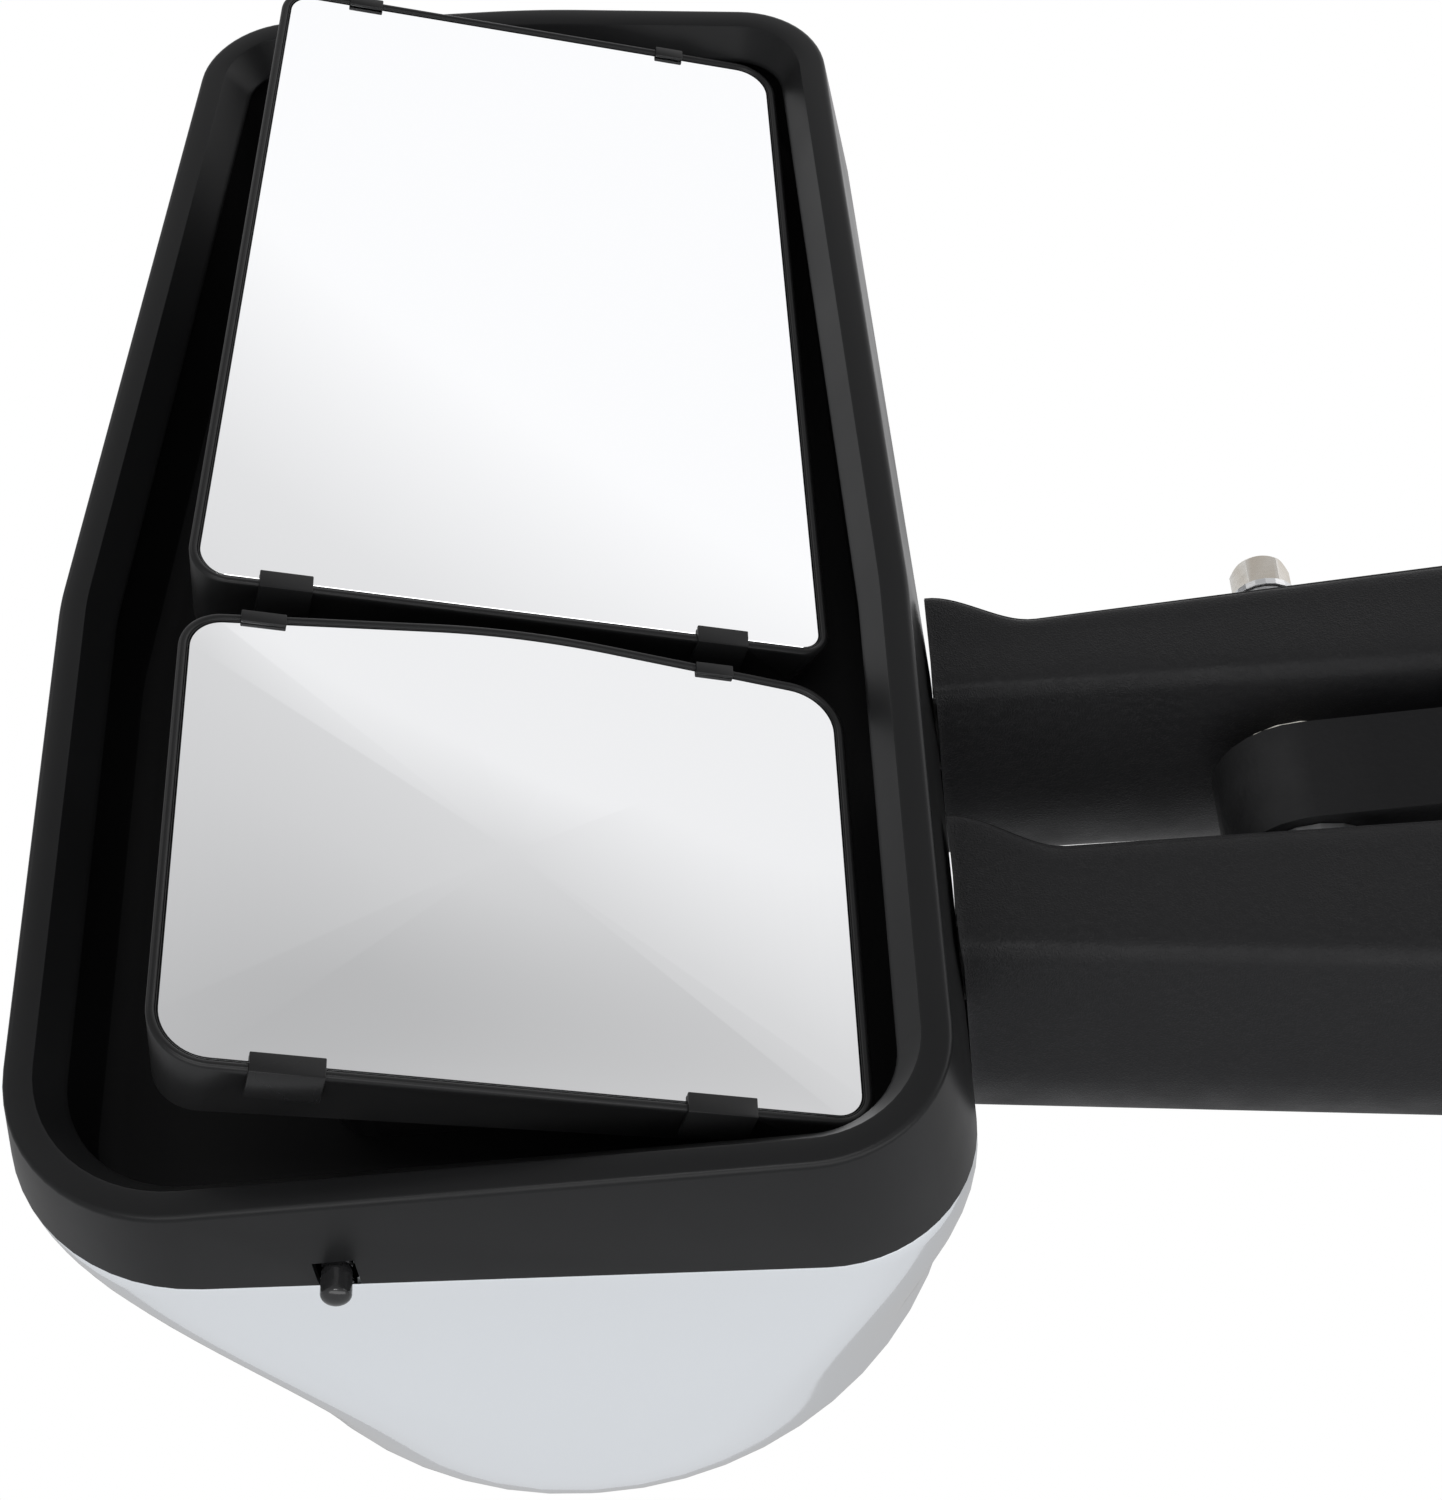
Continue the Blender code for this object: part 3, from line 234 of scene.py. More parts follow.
# %% Node group helpers
def new_group(name, inputs, outputs):
    group = bpy.data.node_groups.new(name, "ShaderNodeTree")
    for label, value in inputs:
        socket = group.interface.new_socket(label, in_out="INPUT", socket_type="NodeSocketFloat")
        socket.default_value = value
    for label in outputs:
        group.interface.new_socket(label, in_out="OUTPUT", socket_type="NodeSocketFloat")
    return group, group.nodes.new("NodeGroupInput"), group.nodes.new("NodeGroupOutput")


def node(tree, kind, **settings):
    made = tree.nodes.new(kind)
    for name, value in settings.items():
        setattr(made, name, value)
    return made


def math_node(tree, operation, first, second):
    made = node(tree, "ShaderNodeMath", operation=operation)
    for index, value in enumerate((first, second)):
        if isinstance(value, (int, float)):
            made.inputs[index].default_value = value
        else:
            tree.links.new(value, made.inputs[index])
    return made.outputs[0]


# %% The fine texture of a spark-eroded mould
def make_fine_texture():
    group, given, out = new_group("fine mould texture", [("Scale", 900.0)], ["Height", "Patches"])
    place = node(group, "ShaderNodeTexCoord").outputs["Object"]
    fine = node(group, "ShaderNodeTexNoise")
    fine.inputs["Detail"].default_value = 3.0
    group.links.new(place, fine.inputs["Vector"])
    group.links.new(given.outputs["Scale"], fine.inputs["Scale"])
    broad = node(group, "ShaderNodeTexNoise")
    broad.inputs["Scale"].default_value = 14.0
    broad.inputs["Detail"].default_value = 4.0
    group.links.new(place, broad.inputs["Vector"])
    group.links.new(fine.outputs["Fac"], out.inputs["Height"])
    group.links.new(broad.outputs["Fac"], out.inputs["Patches"])
    return group


FINE_TEXTURE = make_fine_texture()


# %% Leather grain
def make_leather_grain():
    group, given, out = new_group("leather grain", [("Scale", 950.0), ("Creases", 60.0)], ["Height", "Crease"])
    place = node(group, "ShaderNodeTexCoord").outputs["Object"]
    warp = node(group, "ShaderNodeTexNoise")
    warp.inputs["Scale"].default_value = 300.0
    group.links.new(place, warp.inputs["Vector"])
    bent = node(group, "ShaderNodeMix", data_type="VECTOR")
    bent.inputs["Factor"].default_value = 0.004
    group.links.new(place, bent.inputs["A"])
    group.links.new(warp.outputs["Color"], bent.inputs["B"])
    cells = node(group, "ShaderNodeTexVoronoi", feature="DISTANCE_TO_EDGE")
    group.links.new(bent.outputs["Result"], cells.inputs["Vector"])
    group.links.new(given.outputs["Scale"], cells.inputs["Scale"])
    swell = node(group, "ShaderNodeMapRange", interpolation_type="SMOOTHSTEP")
    swell.inputs["From Max"].default_value = 0.35
    group.links.new(cells.outputs["Distance"], swell.inputs["Value"])
    lines = node(group, "ShaderNodeTexNoise")
    lines.inputs["Detail"].default_value = 2.0
    group.links.new(place, lines.inputs["Vector"])
    group.links.new(given.outputs["Creases"], lines.inputs["Scale"])
    group.links.new(swell.outputs["Result"], out.inputs["Height"])
    group.links.new(lines.outputs["Fac"], out.inputs["Crease"])
    return group


LEATHER_GRAIN = make_leather_grain()


# %% Dust and rubbed edges
def make_dust_and_wear():
    group, given, out = new_group("dust and wear", [("Dust", 0.3), ("Wear", 0.3)], ["Dust", "Wear"])
    geometry = node(group, "ShaderNodeNewGeometry")
    upward = node(group, "ShaderNodeSeparateXYZ")
    group.links.new(geometry.outputs["Normal"], upward.inputs["Vector"])
    speck = node(group, "ShaderNodeTexNoise")
    speck.inputs["Scale"].default_value = 45.0
    speck.inputs["Detail"].default_value = 6.0
    group.links.new(node(group, "ShaderNodeTexCoord").outputs["Object"], speck.inputs["Vector"])
    settled = node(group, "ShaderNodeMapRange")
    settled.inputs["From Min"].default_value = 0.3
    settled.inputs["From Max"].default_value = 1.0
    group.links.new(upward.outputs["Z"], settled.inputs["Value"])
    dust = math_node(group, "MULTIPLY", settled.outputs["Result"], speck.outputs["Fac"])
    group.links.new(math_node(group, "MULTIPLY", dust, given.outputs["Dust"]), out.inputs["Dust"])
    rubbed = node(group, "ShaderNodeMapRange")
    rubbed.inputs["From Min"].default_value = 0.52
    rubbed.inputs["From Max"].default_value = 0.66
    group.links.new(geometry.outputs["Pointiness"], rubbed.inputs["Value"])
    wear = math_node(group, "MULTIPLY", rubbed.outputs["Result"], speck.outputs["Fac"])
    group.links.new(math_node(group, "MULTIPLY", wear, given.outputs["Wear"]), out.inputs["Wear"])
    return group


DUST_AND_WEAR = make_dust_and_wear()
print("shared effects:", [group.name for group in bpy.data.node_groups])


# %% [markdown]
# ## Finishes
#
# Every finish starts from one Principled shader whose plain numbers are set on its own sockets. A mask
# then mixes a second colour in, and a height goes through a Bump node.

# %% Material helpers
def new_material(name, colour, roughness, metallic=0.0, specular=0.5):
    made = bpy.data.materials.new(name)
    made.use_nodes = True
    made.diffuse_color = (*colour, 1.0)
    shader = made.node_tree.nodes["Principled BSDF"]
    shader.inputs["Base Color"].default_value = (*colour, 1.0)
    shader.inputs["Roughness"].default_value = roughness
    shader.inputs["Metallic"].default_value = metallic
    shader.inputs["Specular IOR Level"].default_value = specular
    return made, made.node_tree, shader


def use_group(tree, group, **values):
    made = node(tree, "ShaderNodeGroup")
    made.node_tree = group
    for name, value in values.items():
        made.inputs[name].default_value = value
    return made


def bump(tree, shader, height, strength, distance):
    made = node(tree, "ShaderNodeBump")
    made.inputs["Strength"].default_value = strength
    made.inputs["Distance"].default_value = distance
    tree.links.new(height, made.inputs["Height"])
    tree.links.new(made.outputs["Normal"], shader.inputs["Normal"])


def spread(tree, value, low, high):
    """Maps a noise value, which lives round one half, to a span."""
    made = node(tree, "ShaderNodeMapRange")
    made.inputs["From Min"].default_value = 0.3
    made.inputs["From Max"].default_value = 0.7
    made.inputs["To Min"].default_value = low
    made.inputs["To Max"].default_value = high
    tree.links.new(value, made.inputs["Value"])
    return made.outputs["Result"]


def tint(tree, shader, mask, plain, second):
    made = node(tree, "ShaderNodeMix", data_type="RGBA")
    made.inputs["A"].default_value = (*plain, 1.0)
    made.inputs["B"].default_value = (*second, 1.0)
    tree.links.new(mask, made.inputs["Factor"])
    tree.links.new(made.outputs["Result"], shader.inputs["Base Color"])


# %% [markdown]
# The bezel, the holders and the bowl are satin black plastic. Its texture is too fine to see as dots,
# but it breaks the gloss, and slow patches in the roughness keep broad faces from looking painted.

# %% Satin plastic
DUST_COLOUR = (0.11, 0.11, 0.11)


def satin_plastic(name, colour, roughness, specular, dust=0.15):
    made, tree, shader = new_material(name, colour, roughness, specular=specular)
    texture = use_group(tree, FINE_TEXTURE, Scale=1400.0)
    worn = use_group(tree, DUST_AND_WEAR, Dust=dust, Wear=0.12)
    mask = math_node(tree, "ADD", worn.outputs["Dust"], worn.outputs["Wear"])
    tint(tree, shader, mask, colour, DUST_COLOUR)
    tree.links.new(spread(tree, texture.outputs["Patches"], roughness - 0.05, roughness + 0.06),
                   shader.inputs["Roughness"])
    bump(tree, shader, texture.outputs["Height"], 0.25, 0.00006)
    return made


BEZEL_PLASTIC = satin_plastic("satin_black_plastic", (0.0070, 0.0071, 0.0074), 0.34, 0.18)
RIM_PLASTIC = satin_plastic("holder_black_plastic", (0.0070, 0.0070, 0.0072), 0.32, 0.22)
BOWL_PLASTIC = satin_plastic("bowl_black_plastic", (0.0040, 0.0040, 0.0042), 0.55, 0.10)


# %% [markdown]
# The arm covers have a moulded leather grain that catches the light along the lower edge, and a broad
# unevenness where hands and weather have dulled it.

# %% Leather-grained plastic
def grained_plastic():
    colour = (0.0062, 0.0062, 0.0068)
    made, tree, shader = new_material("grained_black_plastic", colour, 0.42, specular=0.20)
    grain = use_group(tree, LEATHER_GRAIN, Scale=950.0, Creases=55.0)
    worn = use_group(tree, DUST_AND_WEAR, Dust=0.12, Wear=0.25)
    mask = math_node(tree, "ADD", worn.outputs["Dust"], worn.outputs["Wear"])
    tint(tree, shader, mask, colour, DUST_COLOUR)
    tree.links.new(spread(tree, grain.outputs["Crease"], 0.40, 0.52), shader.inputs["Roughness"])
    bump(tree, shader, grain.outputs["Height"], 0.5, 0.00018)
    return made


ARM_PLASTIC = grained_plastic()


# %% [markdown]
# The rear cover is plated plastic: a clean mirror that is very slightly blue, with the faint ripple that
# a large moulding keeps under its plating. Water spots only touch its roughness.

# %% Plated cover
def plating():
    made, tree, shader = new_material("bright_plating", (0.935, 0.96, 0.985), 0.07, metallic=1.0)
    texture = use_group(tree, FINE_TEXTURE, Scale=9.0)
    tree.links.new(spread(tree, texture.outputs["Patches"], 0.05, 0.14), shader.inputs["Roughness"])
    bump(tree, shader, texture.outputs["Height"], 0.06, 0.002)
    return made


PLATING = plating()


# %% [markdown]
# The glasses are silvered on the back. The lower one is convex and a shade darker: a convex glass is often less
# reflective, and the darker base colour also paints in the darker reflection that it shows. A trace of haze keeps
# either from being a perfect mirror.

# %% Silvered glass
def silvered(name, colour, haze):
    made, tree, shader = new_material(name, colour, haze, metallic=1.0)
    texture = use_group(tree, FINE_TEXTURE, Scale=30.0)
    tree.links.new(spread(tree, texture.outputs["Patches"], haze * 0.6, haze * 1.6), shader.inputs["Roughness"])
    return made


FLAT_GLASS = silvered("flat_silvered_glass", (0.97, 0.975, 0.98), 0.012)
# the lower glass's darker base colour is partly a painted darkening of its whole reflection
CONVEX_GLASS = silvered("convex_silvered_glass", (0.86, 0.865, 0.87), 0.016)


# %% [markdown]
# The metals share a recipe: a base colour, a little stretched noise for how the metal was worked, and
# rubbed edges that shine brighter.

# %% Metals
def worked_metal(name, colour, roughness, stretch=(60.0, 60.0, 900.0), depth=0.00003, bright=(0.8, 0.79, 0.77)):
    made, tree, shader = new_material(name, colour, roughness, metallic=1.0)
    lay = node(tree, "ShaderNodeMapping")
    lay.inputs["Scale"].default_value = stretch
    noise = node(tree, "ShaderNodeTexNoise")
    noise.inputs["Scale"].default_value = 1.0
    noise.inputs["Detail"].default_value = 5.0
    tree.links.new(node(tree, "ShaderNodeTexCoord").outputs["Object"], lay.inputs["Vector"])
    tree.links.new(lay.outputs["Vector"], noise.inputs["Vector"])
    worn = use_group(tree, DUST_AND_WEAR, Dust=0.1, Wear=0.9)
    tint(tree, shader, worn.outputs["Wear"], colour, bright)
    tree.links.new(spread(tree, noise.outputs["Fac"], roughness - 0.08, roughness + 0.1), shader.inputs["Roughness"])
    bump(tree, shader, noise.outputs["Fac"], 0.4, depth)
    return made


STEEL = worked_metal("plain_steel", (0.30, 0.31, 0.33), 0.38)
ZINC = worked_metal("zinc_plate", (0.55, 0.56, 0.58), 0.34)
NICKEL = worked_metal("warm_nickel_plate", (0.56, 0.51, 0.44), 0.27)


# %% [markdown]
# The door bracket is a casting under black paint, so its skin is pebbled. The gasket is dull rubber, the
# drive pieces are natural nylon, and the heater is a printed film with a meandering track.

# %% Casting, rubber, nylon and heater film
def cast_paint():
    colour = (0.006, 0.006, 0.0065)
    made, tree, shader = new_material("black_cast_paint", colour, 0.55, specular=0.12)
    texture = use_group(tree, FINE_TEXTURE, Scale=420.0)
    worn = use_group(tree, DUST_AND_WEAR, Dust=0.35, Wear=0.7)
    mask = math_node(tree, "ADD", worn.outputs["Dust"], worn.outputs["Wear"])
    tint(tree, shader, mask, colour, (0.16, 0.16, 0.16))
    bump(tree, shader, texture.outputs["Height"], 0.6, 0.0004)
    return made


def dull_solid(name, colour, roughness, second, scale):
    made, tree, shader = new_material(name, colour, roughness, specular=0.35)
    texture = use_group(tree, FINE_TEXTURE, Scale=scale)
    tint(tree, shader, spread(tree, texture.outputs["Patches"], 0.0, 1.0), colour, second)
    bump(tree, shader, texture.outputs["Height"], 0.4, 0.0001)
    return made


def heater_film():
    made, tree, shader = new_material("heater_film", (0.5, 0.3, 0.12), 0.5)
    track = node(tree, "ShaderNodeTexWave", wave_type="BANDS", bands_direction="Z")
    track.inputs["Scale"].default_value = 40.0
    track.inputs["Distortion"].default_value = 1.5
    tree.links.new(node(tree, "ShaderNodeTexCoord").outputs["Object"], track.inputs["Vector"])
    tint(tree, shader, track.outputs["Fac"], (0.45, 0.26, 0.10), (0.06, 0.05, 0.045))
    return made


CAST_PAINT = cast_paint()
RUBBER = dull_solid("dull_rubber", (0.012, 0.012, 0.012), 0.75, (0.022, 0.021, 0.02), 700.0)
NYLON = dull_solid("natural_nylon", (0.72, 0.70, 0.64), 0.42, (0.64, 0.61, 0.54), 200.0)
HEATER = heater_film()
print("finishes:", len(bpy.data.materials))

# %% [markdown]
# ## Finishes on the frame's own pieces
#
# A node whose shape is right keeps it and only takes a better finish, chosen by the slot that the record
# names for it.

# %% Dress the frame
SLOT_LOOKS = {
    "black_plastic": RIM_PLASTIC,
    "grained_plastic": ARM_PLASTIC,
    "chrome": PLATING,
    "mirror_glass": FLAT_GLASS,
    "heater_foil": HEATER,
    "steel": STEEL,
    "zinc": ZINC,
    "nickel": NICKEL,
    "cast_metal": CAST_PAINT,
    "gasket_rubber": RUBBER,
    "nylon": NYLON,
}
# The arm tubes take this black instead of their slot's finish. It is black paint, and it also paints the shade of the
# slit between head and covers onto them.
TUBE_PAINT_AND_SHADE = satin_plastic("black_tube_paint_and_painted_shade", (0.006, 0.006, 0.006), 0.5, 0.15)
SLOTS = {row["node"]: row["material_slot"] for row in frame["record"]["subparts"]}
for name, obj in frame["nodes"].items():
    obj.data.materials.clear()
    obj.data.materials.append(TUBE_PAINT_AND_SHADE if name.endswith("arm_tube") else SLOT_LOOKS[SLOTS[name]])
print("dressed", len(SLOTS), "nodes")


def finish_piece(obj, body, *nodes):
    """Puts a finer piece in the place of its nodes, on their body."""
    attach(obj, body)
    if nodes:
        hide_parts(*nodes)
    print(obj.name, len(obj.data.polygons), "faces on", body)
    return obj


# %% [markdown]
# ## The bezel
#
# The rim is a tall outline that leans in above a knee on each side. Its section is a flat front face, a
# bevel that leads inwards, a lip, and a side wall that flares back to the seam. Each loop of the skin is
# the same outline, grown or shrunk, so wall and corners stay parallel everywhere.

# %% Rim outline
RIM = [
    (-150 * MM, -278 * MM, 60 * MM),
    (150 * MM, -278 * MM, 46 * MM),
    (150 * MM, -52 * MM, 300 * MM),
    (136 * MM, 252 * MM, 40 * MM),
    (20 * MM, 273 * MM, 400 * MM),
    (-113.5 * MM, 283 * MM, 34 * MM),
    (-150 * MM, -26 * MM, 120 * MM),
]
SEAM_DEPTH = 45 * MM
SEAM_SLOPE = 0.1
SIDE_FLARE = 0.12
SHELL_WALL = 3 * MM
RIM_FACE = 10 * MM
RIM_BEVEL = 8 * MM
BEVEL_DEPTH = 12 * MM


def seam_y(x):
    return SEAM_DEPTH + SEAM_SLOPE * x


def rim_loop(grow, depth):
    loop = []
    for x, z in rounded(RIM, grow):
        loop.append(from_head(x, depth(x) if callable(depth) else depth, z))
    return loop


# %% Fillets for a section
def fillet(centre, radius, start, end, steps=5):
    """Points of an arc in a section of (growth, depth), angles in degrees."""
    angles = [radians(start + (end - start) * k / steps) for k in range(steps + 1)]
    return [(centre[0] + radius * cos(a), centre[1] + radius * sin(a)) for a in angles]


# %% Bezel section and skin
EDGE = 2.2 * MM
LIP = 1.1 * MM
side = SIDE_FLARE * SEAM_DEPTH
section = fillet((-EDGE, EDGE), EDGE, 0, -90)
section += [(-RIM_FACE + 0.8 * MM, 0.0), (-RIM_FACE, 0.25 * MM), (-RIM_FACE - 0.6 * MM, 1.0 * MM)]
section += [(-RIM_FACE - RIM_BEVEL + LIP, BEVEL_DEPTH - LIP * 1.4)]
section += fillet((-RIM_FACE - RIM_BEVEL + LIP, BEVEL_DEPTH), LIP, -150, -280, 4)
section += [(-RIM_FACE - RIM_BEVEL + 3 * MM, BEVEL_DEPTH), (-RIM_FACE + 1 * MM, SHELL_WALL),
            (-SHELL_WALL, SHELL_WALL + 1 * MM)]
loops = [rim_loop(grow, depth) for grow, depth in section]
loops.append(rim_loop(side - SHELL_WALL, seam_y))
loops.append(rim_loop(side - 0.5 * MM, seam_y))
loops.append(rim_loop(side, lambda x: seam_y(x) - 0.5 * MM))
bezel = add_mesh("bezel_shell", loft(loops, ring=True), BEZEL_PLASTIC)

# %% [markdown]
# The sensor looks out through a square notch in the bottom of the bezel, and the two arm tubes pass
# through clearance holes in the side. Both are cut with a Boolean, in the cover as well.

# %% Notch and tube holes
SENSOR = (-47 * MM, 34 * MM)
NOTCH = 6.6 * MM
TUBE_Y = 72 * MM
TUBE_HOLE = 15 * MM
TUBE_HEIGHTS = (-65.5 * MM, -163.5 * MM)
BOTTOM = -278 * MM


def cut_openings(obj, back_y):
    low = from_head(SENSOR[0] - NOTCH, SENSOR[1] - NOTCH, BOTTOM - 20 * MM)
    high = from_head(SENSOR[0] + NOTCH, back_y, BOTTOM + 12 * MM)
    boolean(obj, box(low, high), "DIFFERENCE")
    for height in TUBE_HEIGHTS:
        place = along((1, 0, 0), from_head(100 * MM, TUBE_Y, height))
        boolean(obj, moved(turned([(TUBE_HOLE, 0), (TUBE_HOLE, 90 * MM)]), place), "DIFFERENCE")


cut_openings(bezel, seam_y(SENSOR[0]) + 5 * MM)
finish_piece(bezel, "head", "bezel")

# %% [markdown]
# ## The plated cover
#
# Behind the seam the outline swells, turns rounder, is cut away outboard and closes on a soft crown. The
# skin blends from the seam's outline to the full one, then shrinks on a superellipse, so it has no crease.

# %% Cover loops
FULL = [
    (-115.6 * MM, -310.4 * MM, 131 * MM),
    (148.8 * MM, -310.4 * MM, 131.5 * MM),
    (150 * MM, -52 * MM, 300 * MM),
    (130 * MM, 244 * MM, 74 * MM),
    (20 * MM, 265 * MM, 400 * MM),
    (-97.5 * MM, 273 * MM, 74 * MM),
    (-117.6 * MM, -26 * MM, 150 * MM),
]
COVER_DEPTH = 228 * MM
SQUARE_DEPTH = 102 * MM
CROWN = (43.6 * MM, -40 * MM)
BLEND = 0.39
COVER_ROWS = 40
SEAM_GAP = 0.5 * MM
EDGE_FILLET = 0.5 * MM


def cover_loop(share, inset):
    seam = rounded(RIM, SIDE_FLARE * SEAM_DEPTH - inset)
    full = rounded(FULL, -inset)
    blend = min(1.0, share / BLEND)
    ease = blend * blend * (3 - 2 * blend)
    crown_y = (COVER_DEPTH - inset) * sin(share * pi / 2)
    close = max(0.0, (crown_y - SQUARE_DEPTH) / (COVER_DEPTH - inset - SQUARE_DEPTH))
    scale = max(1 - close ** 2.95, 0.0) ** (1 / 2.2)
    loop = []
    for (sx, sz), (fx, fz) in zip(seam, full):
        x, z = sx + (fx - sx) * ease, sz + (fz - sz) * ease
        start = seam_y(x) + SEAM_GAP
        y = start + crown_y * (1 - start / COVER_DEPTH)
        loop.append(from_head(CROWN[0] + (x - CROWN[0]) * scale, y, CROWN[1] + (z - CROWN[1]) * scale))
    return loop


# %% Cover skin
shares = [k / COVER_ROWS * 0.97 for k in range(COVER_ROWS + 1)]
shares.insert(1, 0.003)
outer = [cover_loop(0, EDGE_FILLET)] + [cover_loop(share, 0) for share in shares[1:]]
inner = [cover_loop(share, SHELL_WALL) for share in shares]
cover = add_mesh("plated_cover", shell(outer, inner), PLATING)
cut_openings(cover, HEAD.y + SENSOR[1] + NOTCH)
shade(cover, radians(50))
finish_piece(cover, "head", "rear_cover")

# %% [markdown]
# ## The bowl behind the glasses
#
# The inner housing is a deep dark bowl clipped behind the rim. Its floor carries the two drives.

# %% Bowl
BOWL_FRONT = 5 * MM
BOWL_BACK = 52 * MM
BOWL_WALL = 2.7 * MM
loops = [
    rim_loop(-40 * MM, BOWL_BACK),
    rim_loop(-26 * MM, BOWL_BACK),
    rim_loop(-21 * MM, BOWL_BACK - 0.8 * MM),
    rim_loop(-18 * MM, BOWL_BACK - 2.4 * MM),
    rim_loop(-16.6 * MM, BOWL_BACK - 5 * MM),
    rim_loop(-10 * MM, BOWL_FRONT),
    rim_loop(-10 * MM + BOWL_WALL, BOWL_FRONT),
    rim_loop(-17 * MM + BOWL_WALL, BOWL_BACK - 2 * MM),
    rim_loop(-24 * MM, BOWL_BACK + BOWL_WALL),
]
bowl = add_mesh("bowl", loft(loops), BOWL_PLASTIC)
finish_piece(bowl, "head", "inner_housing")

# %% [markdown]
# ## Glasses and their holders
#
# Each glass sits in a holder with a rounded bead round it, a dark step beside the silvering and a deep
# skirt behind. Everything is built flat about the pivot and then swung to its rest pose.

# %% Glass outlines
GLASSES = {
    "upper": {"corners": [(-110, -148, 14), (114, -148, 10), (105.5, 150, 16), (-92, 150, 12)], "crown": 0.0},
    "lower": {"corners": [(-110, -88, 20), (115, -88, 12), (115, 84, 20), (3, 95, 300), (-110, 84, 15)],
              "crown": 3 * MM},
}
STAND = 30 * MM
GLASS_THICK = 2.3 * MM
LIP_WIDTH = 3.2 * MM
SKIRT_DEPTH = 28 * MM
SKIRT_SLANT = 0.06
SKIRT_TAPER = 5 * MM
SKIRT_WALL = 2.2 * MM


def swing(label):
    turn = Matrix.Rotation(PAN, 4, "Z") @ Matrix.Rotation(REST_TILT[label], 4, "X")
    return Matrix.Translation(PIVOTS[label]) @ turn


def glass_loop(corners, grow, y):
    return [(x, y(x) if callable(y) else y, z) for x, z in rounded(corners, grow)]


# %% Glass
FACE_RINGS = 26


def dome(x, z, corners, crown):
    """How far a convex glass stands forward, none at its edges and most in the middle."""
    xs, zs = [corner[0] for corner in corners], [corner[1] for corner in corners]
    across = 2 * (x - min(xs)) / (max(xs) - min(xs)) - 1
    up = 2 * (z - min(zs)) / (max(zs) - min(zs)) - 1
    return crown * (1 - across ** 2) * (1 - up ** 2)


def make_glass(label, corners, crown, look):
    edge = -LIP_WIDTH - GAP
    rim = glass_loop(corners, edge - 0.3 * MM, 0)
    face = []
    for k in range(FACE_RINGS):
        share = 1 - k / FACE_RINGS
        face.append([(x * share, -STAND - dome(x * share, z * share, corners, crown), z * share) for x, _, z in rim])
    back = [glass_loop(corners, edge, -STAND + GLASS_THICK), glass_loop(corners, edge, -STAND + 0.3 * MM)]
    glass = add_mesh(f"{label}_mirror_glass", moved(loft(back + face), swing(label)), look)
    return finish_piece(glass, f"{label}_tilt", f"{label}_glass")


# %% [markdown]
# The holder's front tabs hook over the glass edge: two flat nubs along the top, and two larger ones
# along the bottom that carry on as sprung tongues down the skirt. They are small bevelled blocks joined
# to the holder with a Boolean.

# %% Tabs on the holder
NUBS = {
    "upper": [(-60, 13, "top"), (62, 11, "top"), (-76, 18, "bottom"), (75, 18, "bottom")],
    "lower": [(-83, 15, "top"), (70, 13, "top"), (-67, 23, "bottom"), (66, 22, "bottom")],
}
NUB_RISE = {"top": 1.2 * MM, "bottom": 3.0 * MM}
TONGUE = 13 * MM


def edge_height(corners, x, top):
    """Height of the outline's top or bottom edge at x."""
    points = [(px, pz) for px, pz in rounded(corners) if (pz > 0) == top]
    points.sort()
    for (ax, az), (bx, bz) in zip(points, points[1:]):
        if ax <= x <= bx and bx > ax:
            return az + (bz - az) * (x - ax) / (bx - ax)
    return points[0][1]


def tab_shapes(corners, label):
    shapes = []
    for centre, width, place in NUBS[label]:
        x, half = centre * MM, width * MM / 2
        top = place == "top"
        z = edge_height(corners, x, top)
        inward = -1 if top else 1
        near, far = sorted((z - inward * 0.2 * MM, z + inward * (LIP_WIDTH + NUB_RISE[place])))
        shapes.append(box((x - half, -STAND - 1.9 * MM, near), (x + half, -STAND - 0.35 * MM, far)))
        if not top:
            back = -STAND + TONGUE
            shapes.append(box((x - half, -STAND - 1.9 * MM, z - 0.9 * MM), (x + half, back, z + 0.9 * MM)))
    return shapes


# %% Holder
def make_holder(label, corners):
    heater_y = -STAND + GLASS_THICK + GAP
    plate_front = heater_y + 0.8 * MM + GAP
    plate_back = plate_front + 2.5 * MM
    bead = fillet((-1.5 * MM, -STAND + 0.5 * MM), 1.5 * MM, 180, 360, 8)
    skirt = -STAND + SKIRT_DEPTH

    def skirt_y(x):
        return skirt - SKIRT_SLANT * x

    loops = [glass_loop(corners, grow, y) for grow, y in
             [(-LIP_WIDTH, plate_front), (-LIP_WIDTH, -STAND - 0.2 * MM), (-LIP_WIDTH + 0.25 * MM, -STAND - 0.4 * MM)]]
    loops += [glass_loop(corners, grow, y) for grow, y in bead]
    loops += [glass_loop(corners, -SKIRT_TAPER, skirt_y), glass_loop(corners, -SKIRT_TAPER - SKIRT_WALL, skirt_y),
              glass_loop(corners, -LIP_WIDTH - SKIRT_WALL, plate_back)]
    holder = add_mesh(f"{label}_glass_holder", loft(loops), RIM_PLASTIC)
    for index, shape in enumerate(tab_shapes(corners, label)):
        tab = add_mesh("tab", shape, RIM_PLASTIC)
        bevel(tab, 0.35 * MM, 2)
        boolean(holder, ([v.co.copy() for v in tab.data.vertices], [tuple(p.vertices) for p in tab.data.polygons]),
                "UNION")
        bpy.data.objects.remove(tab, do_unlink=True)
    holder.data.transform(swing(label))
    return holder


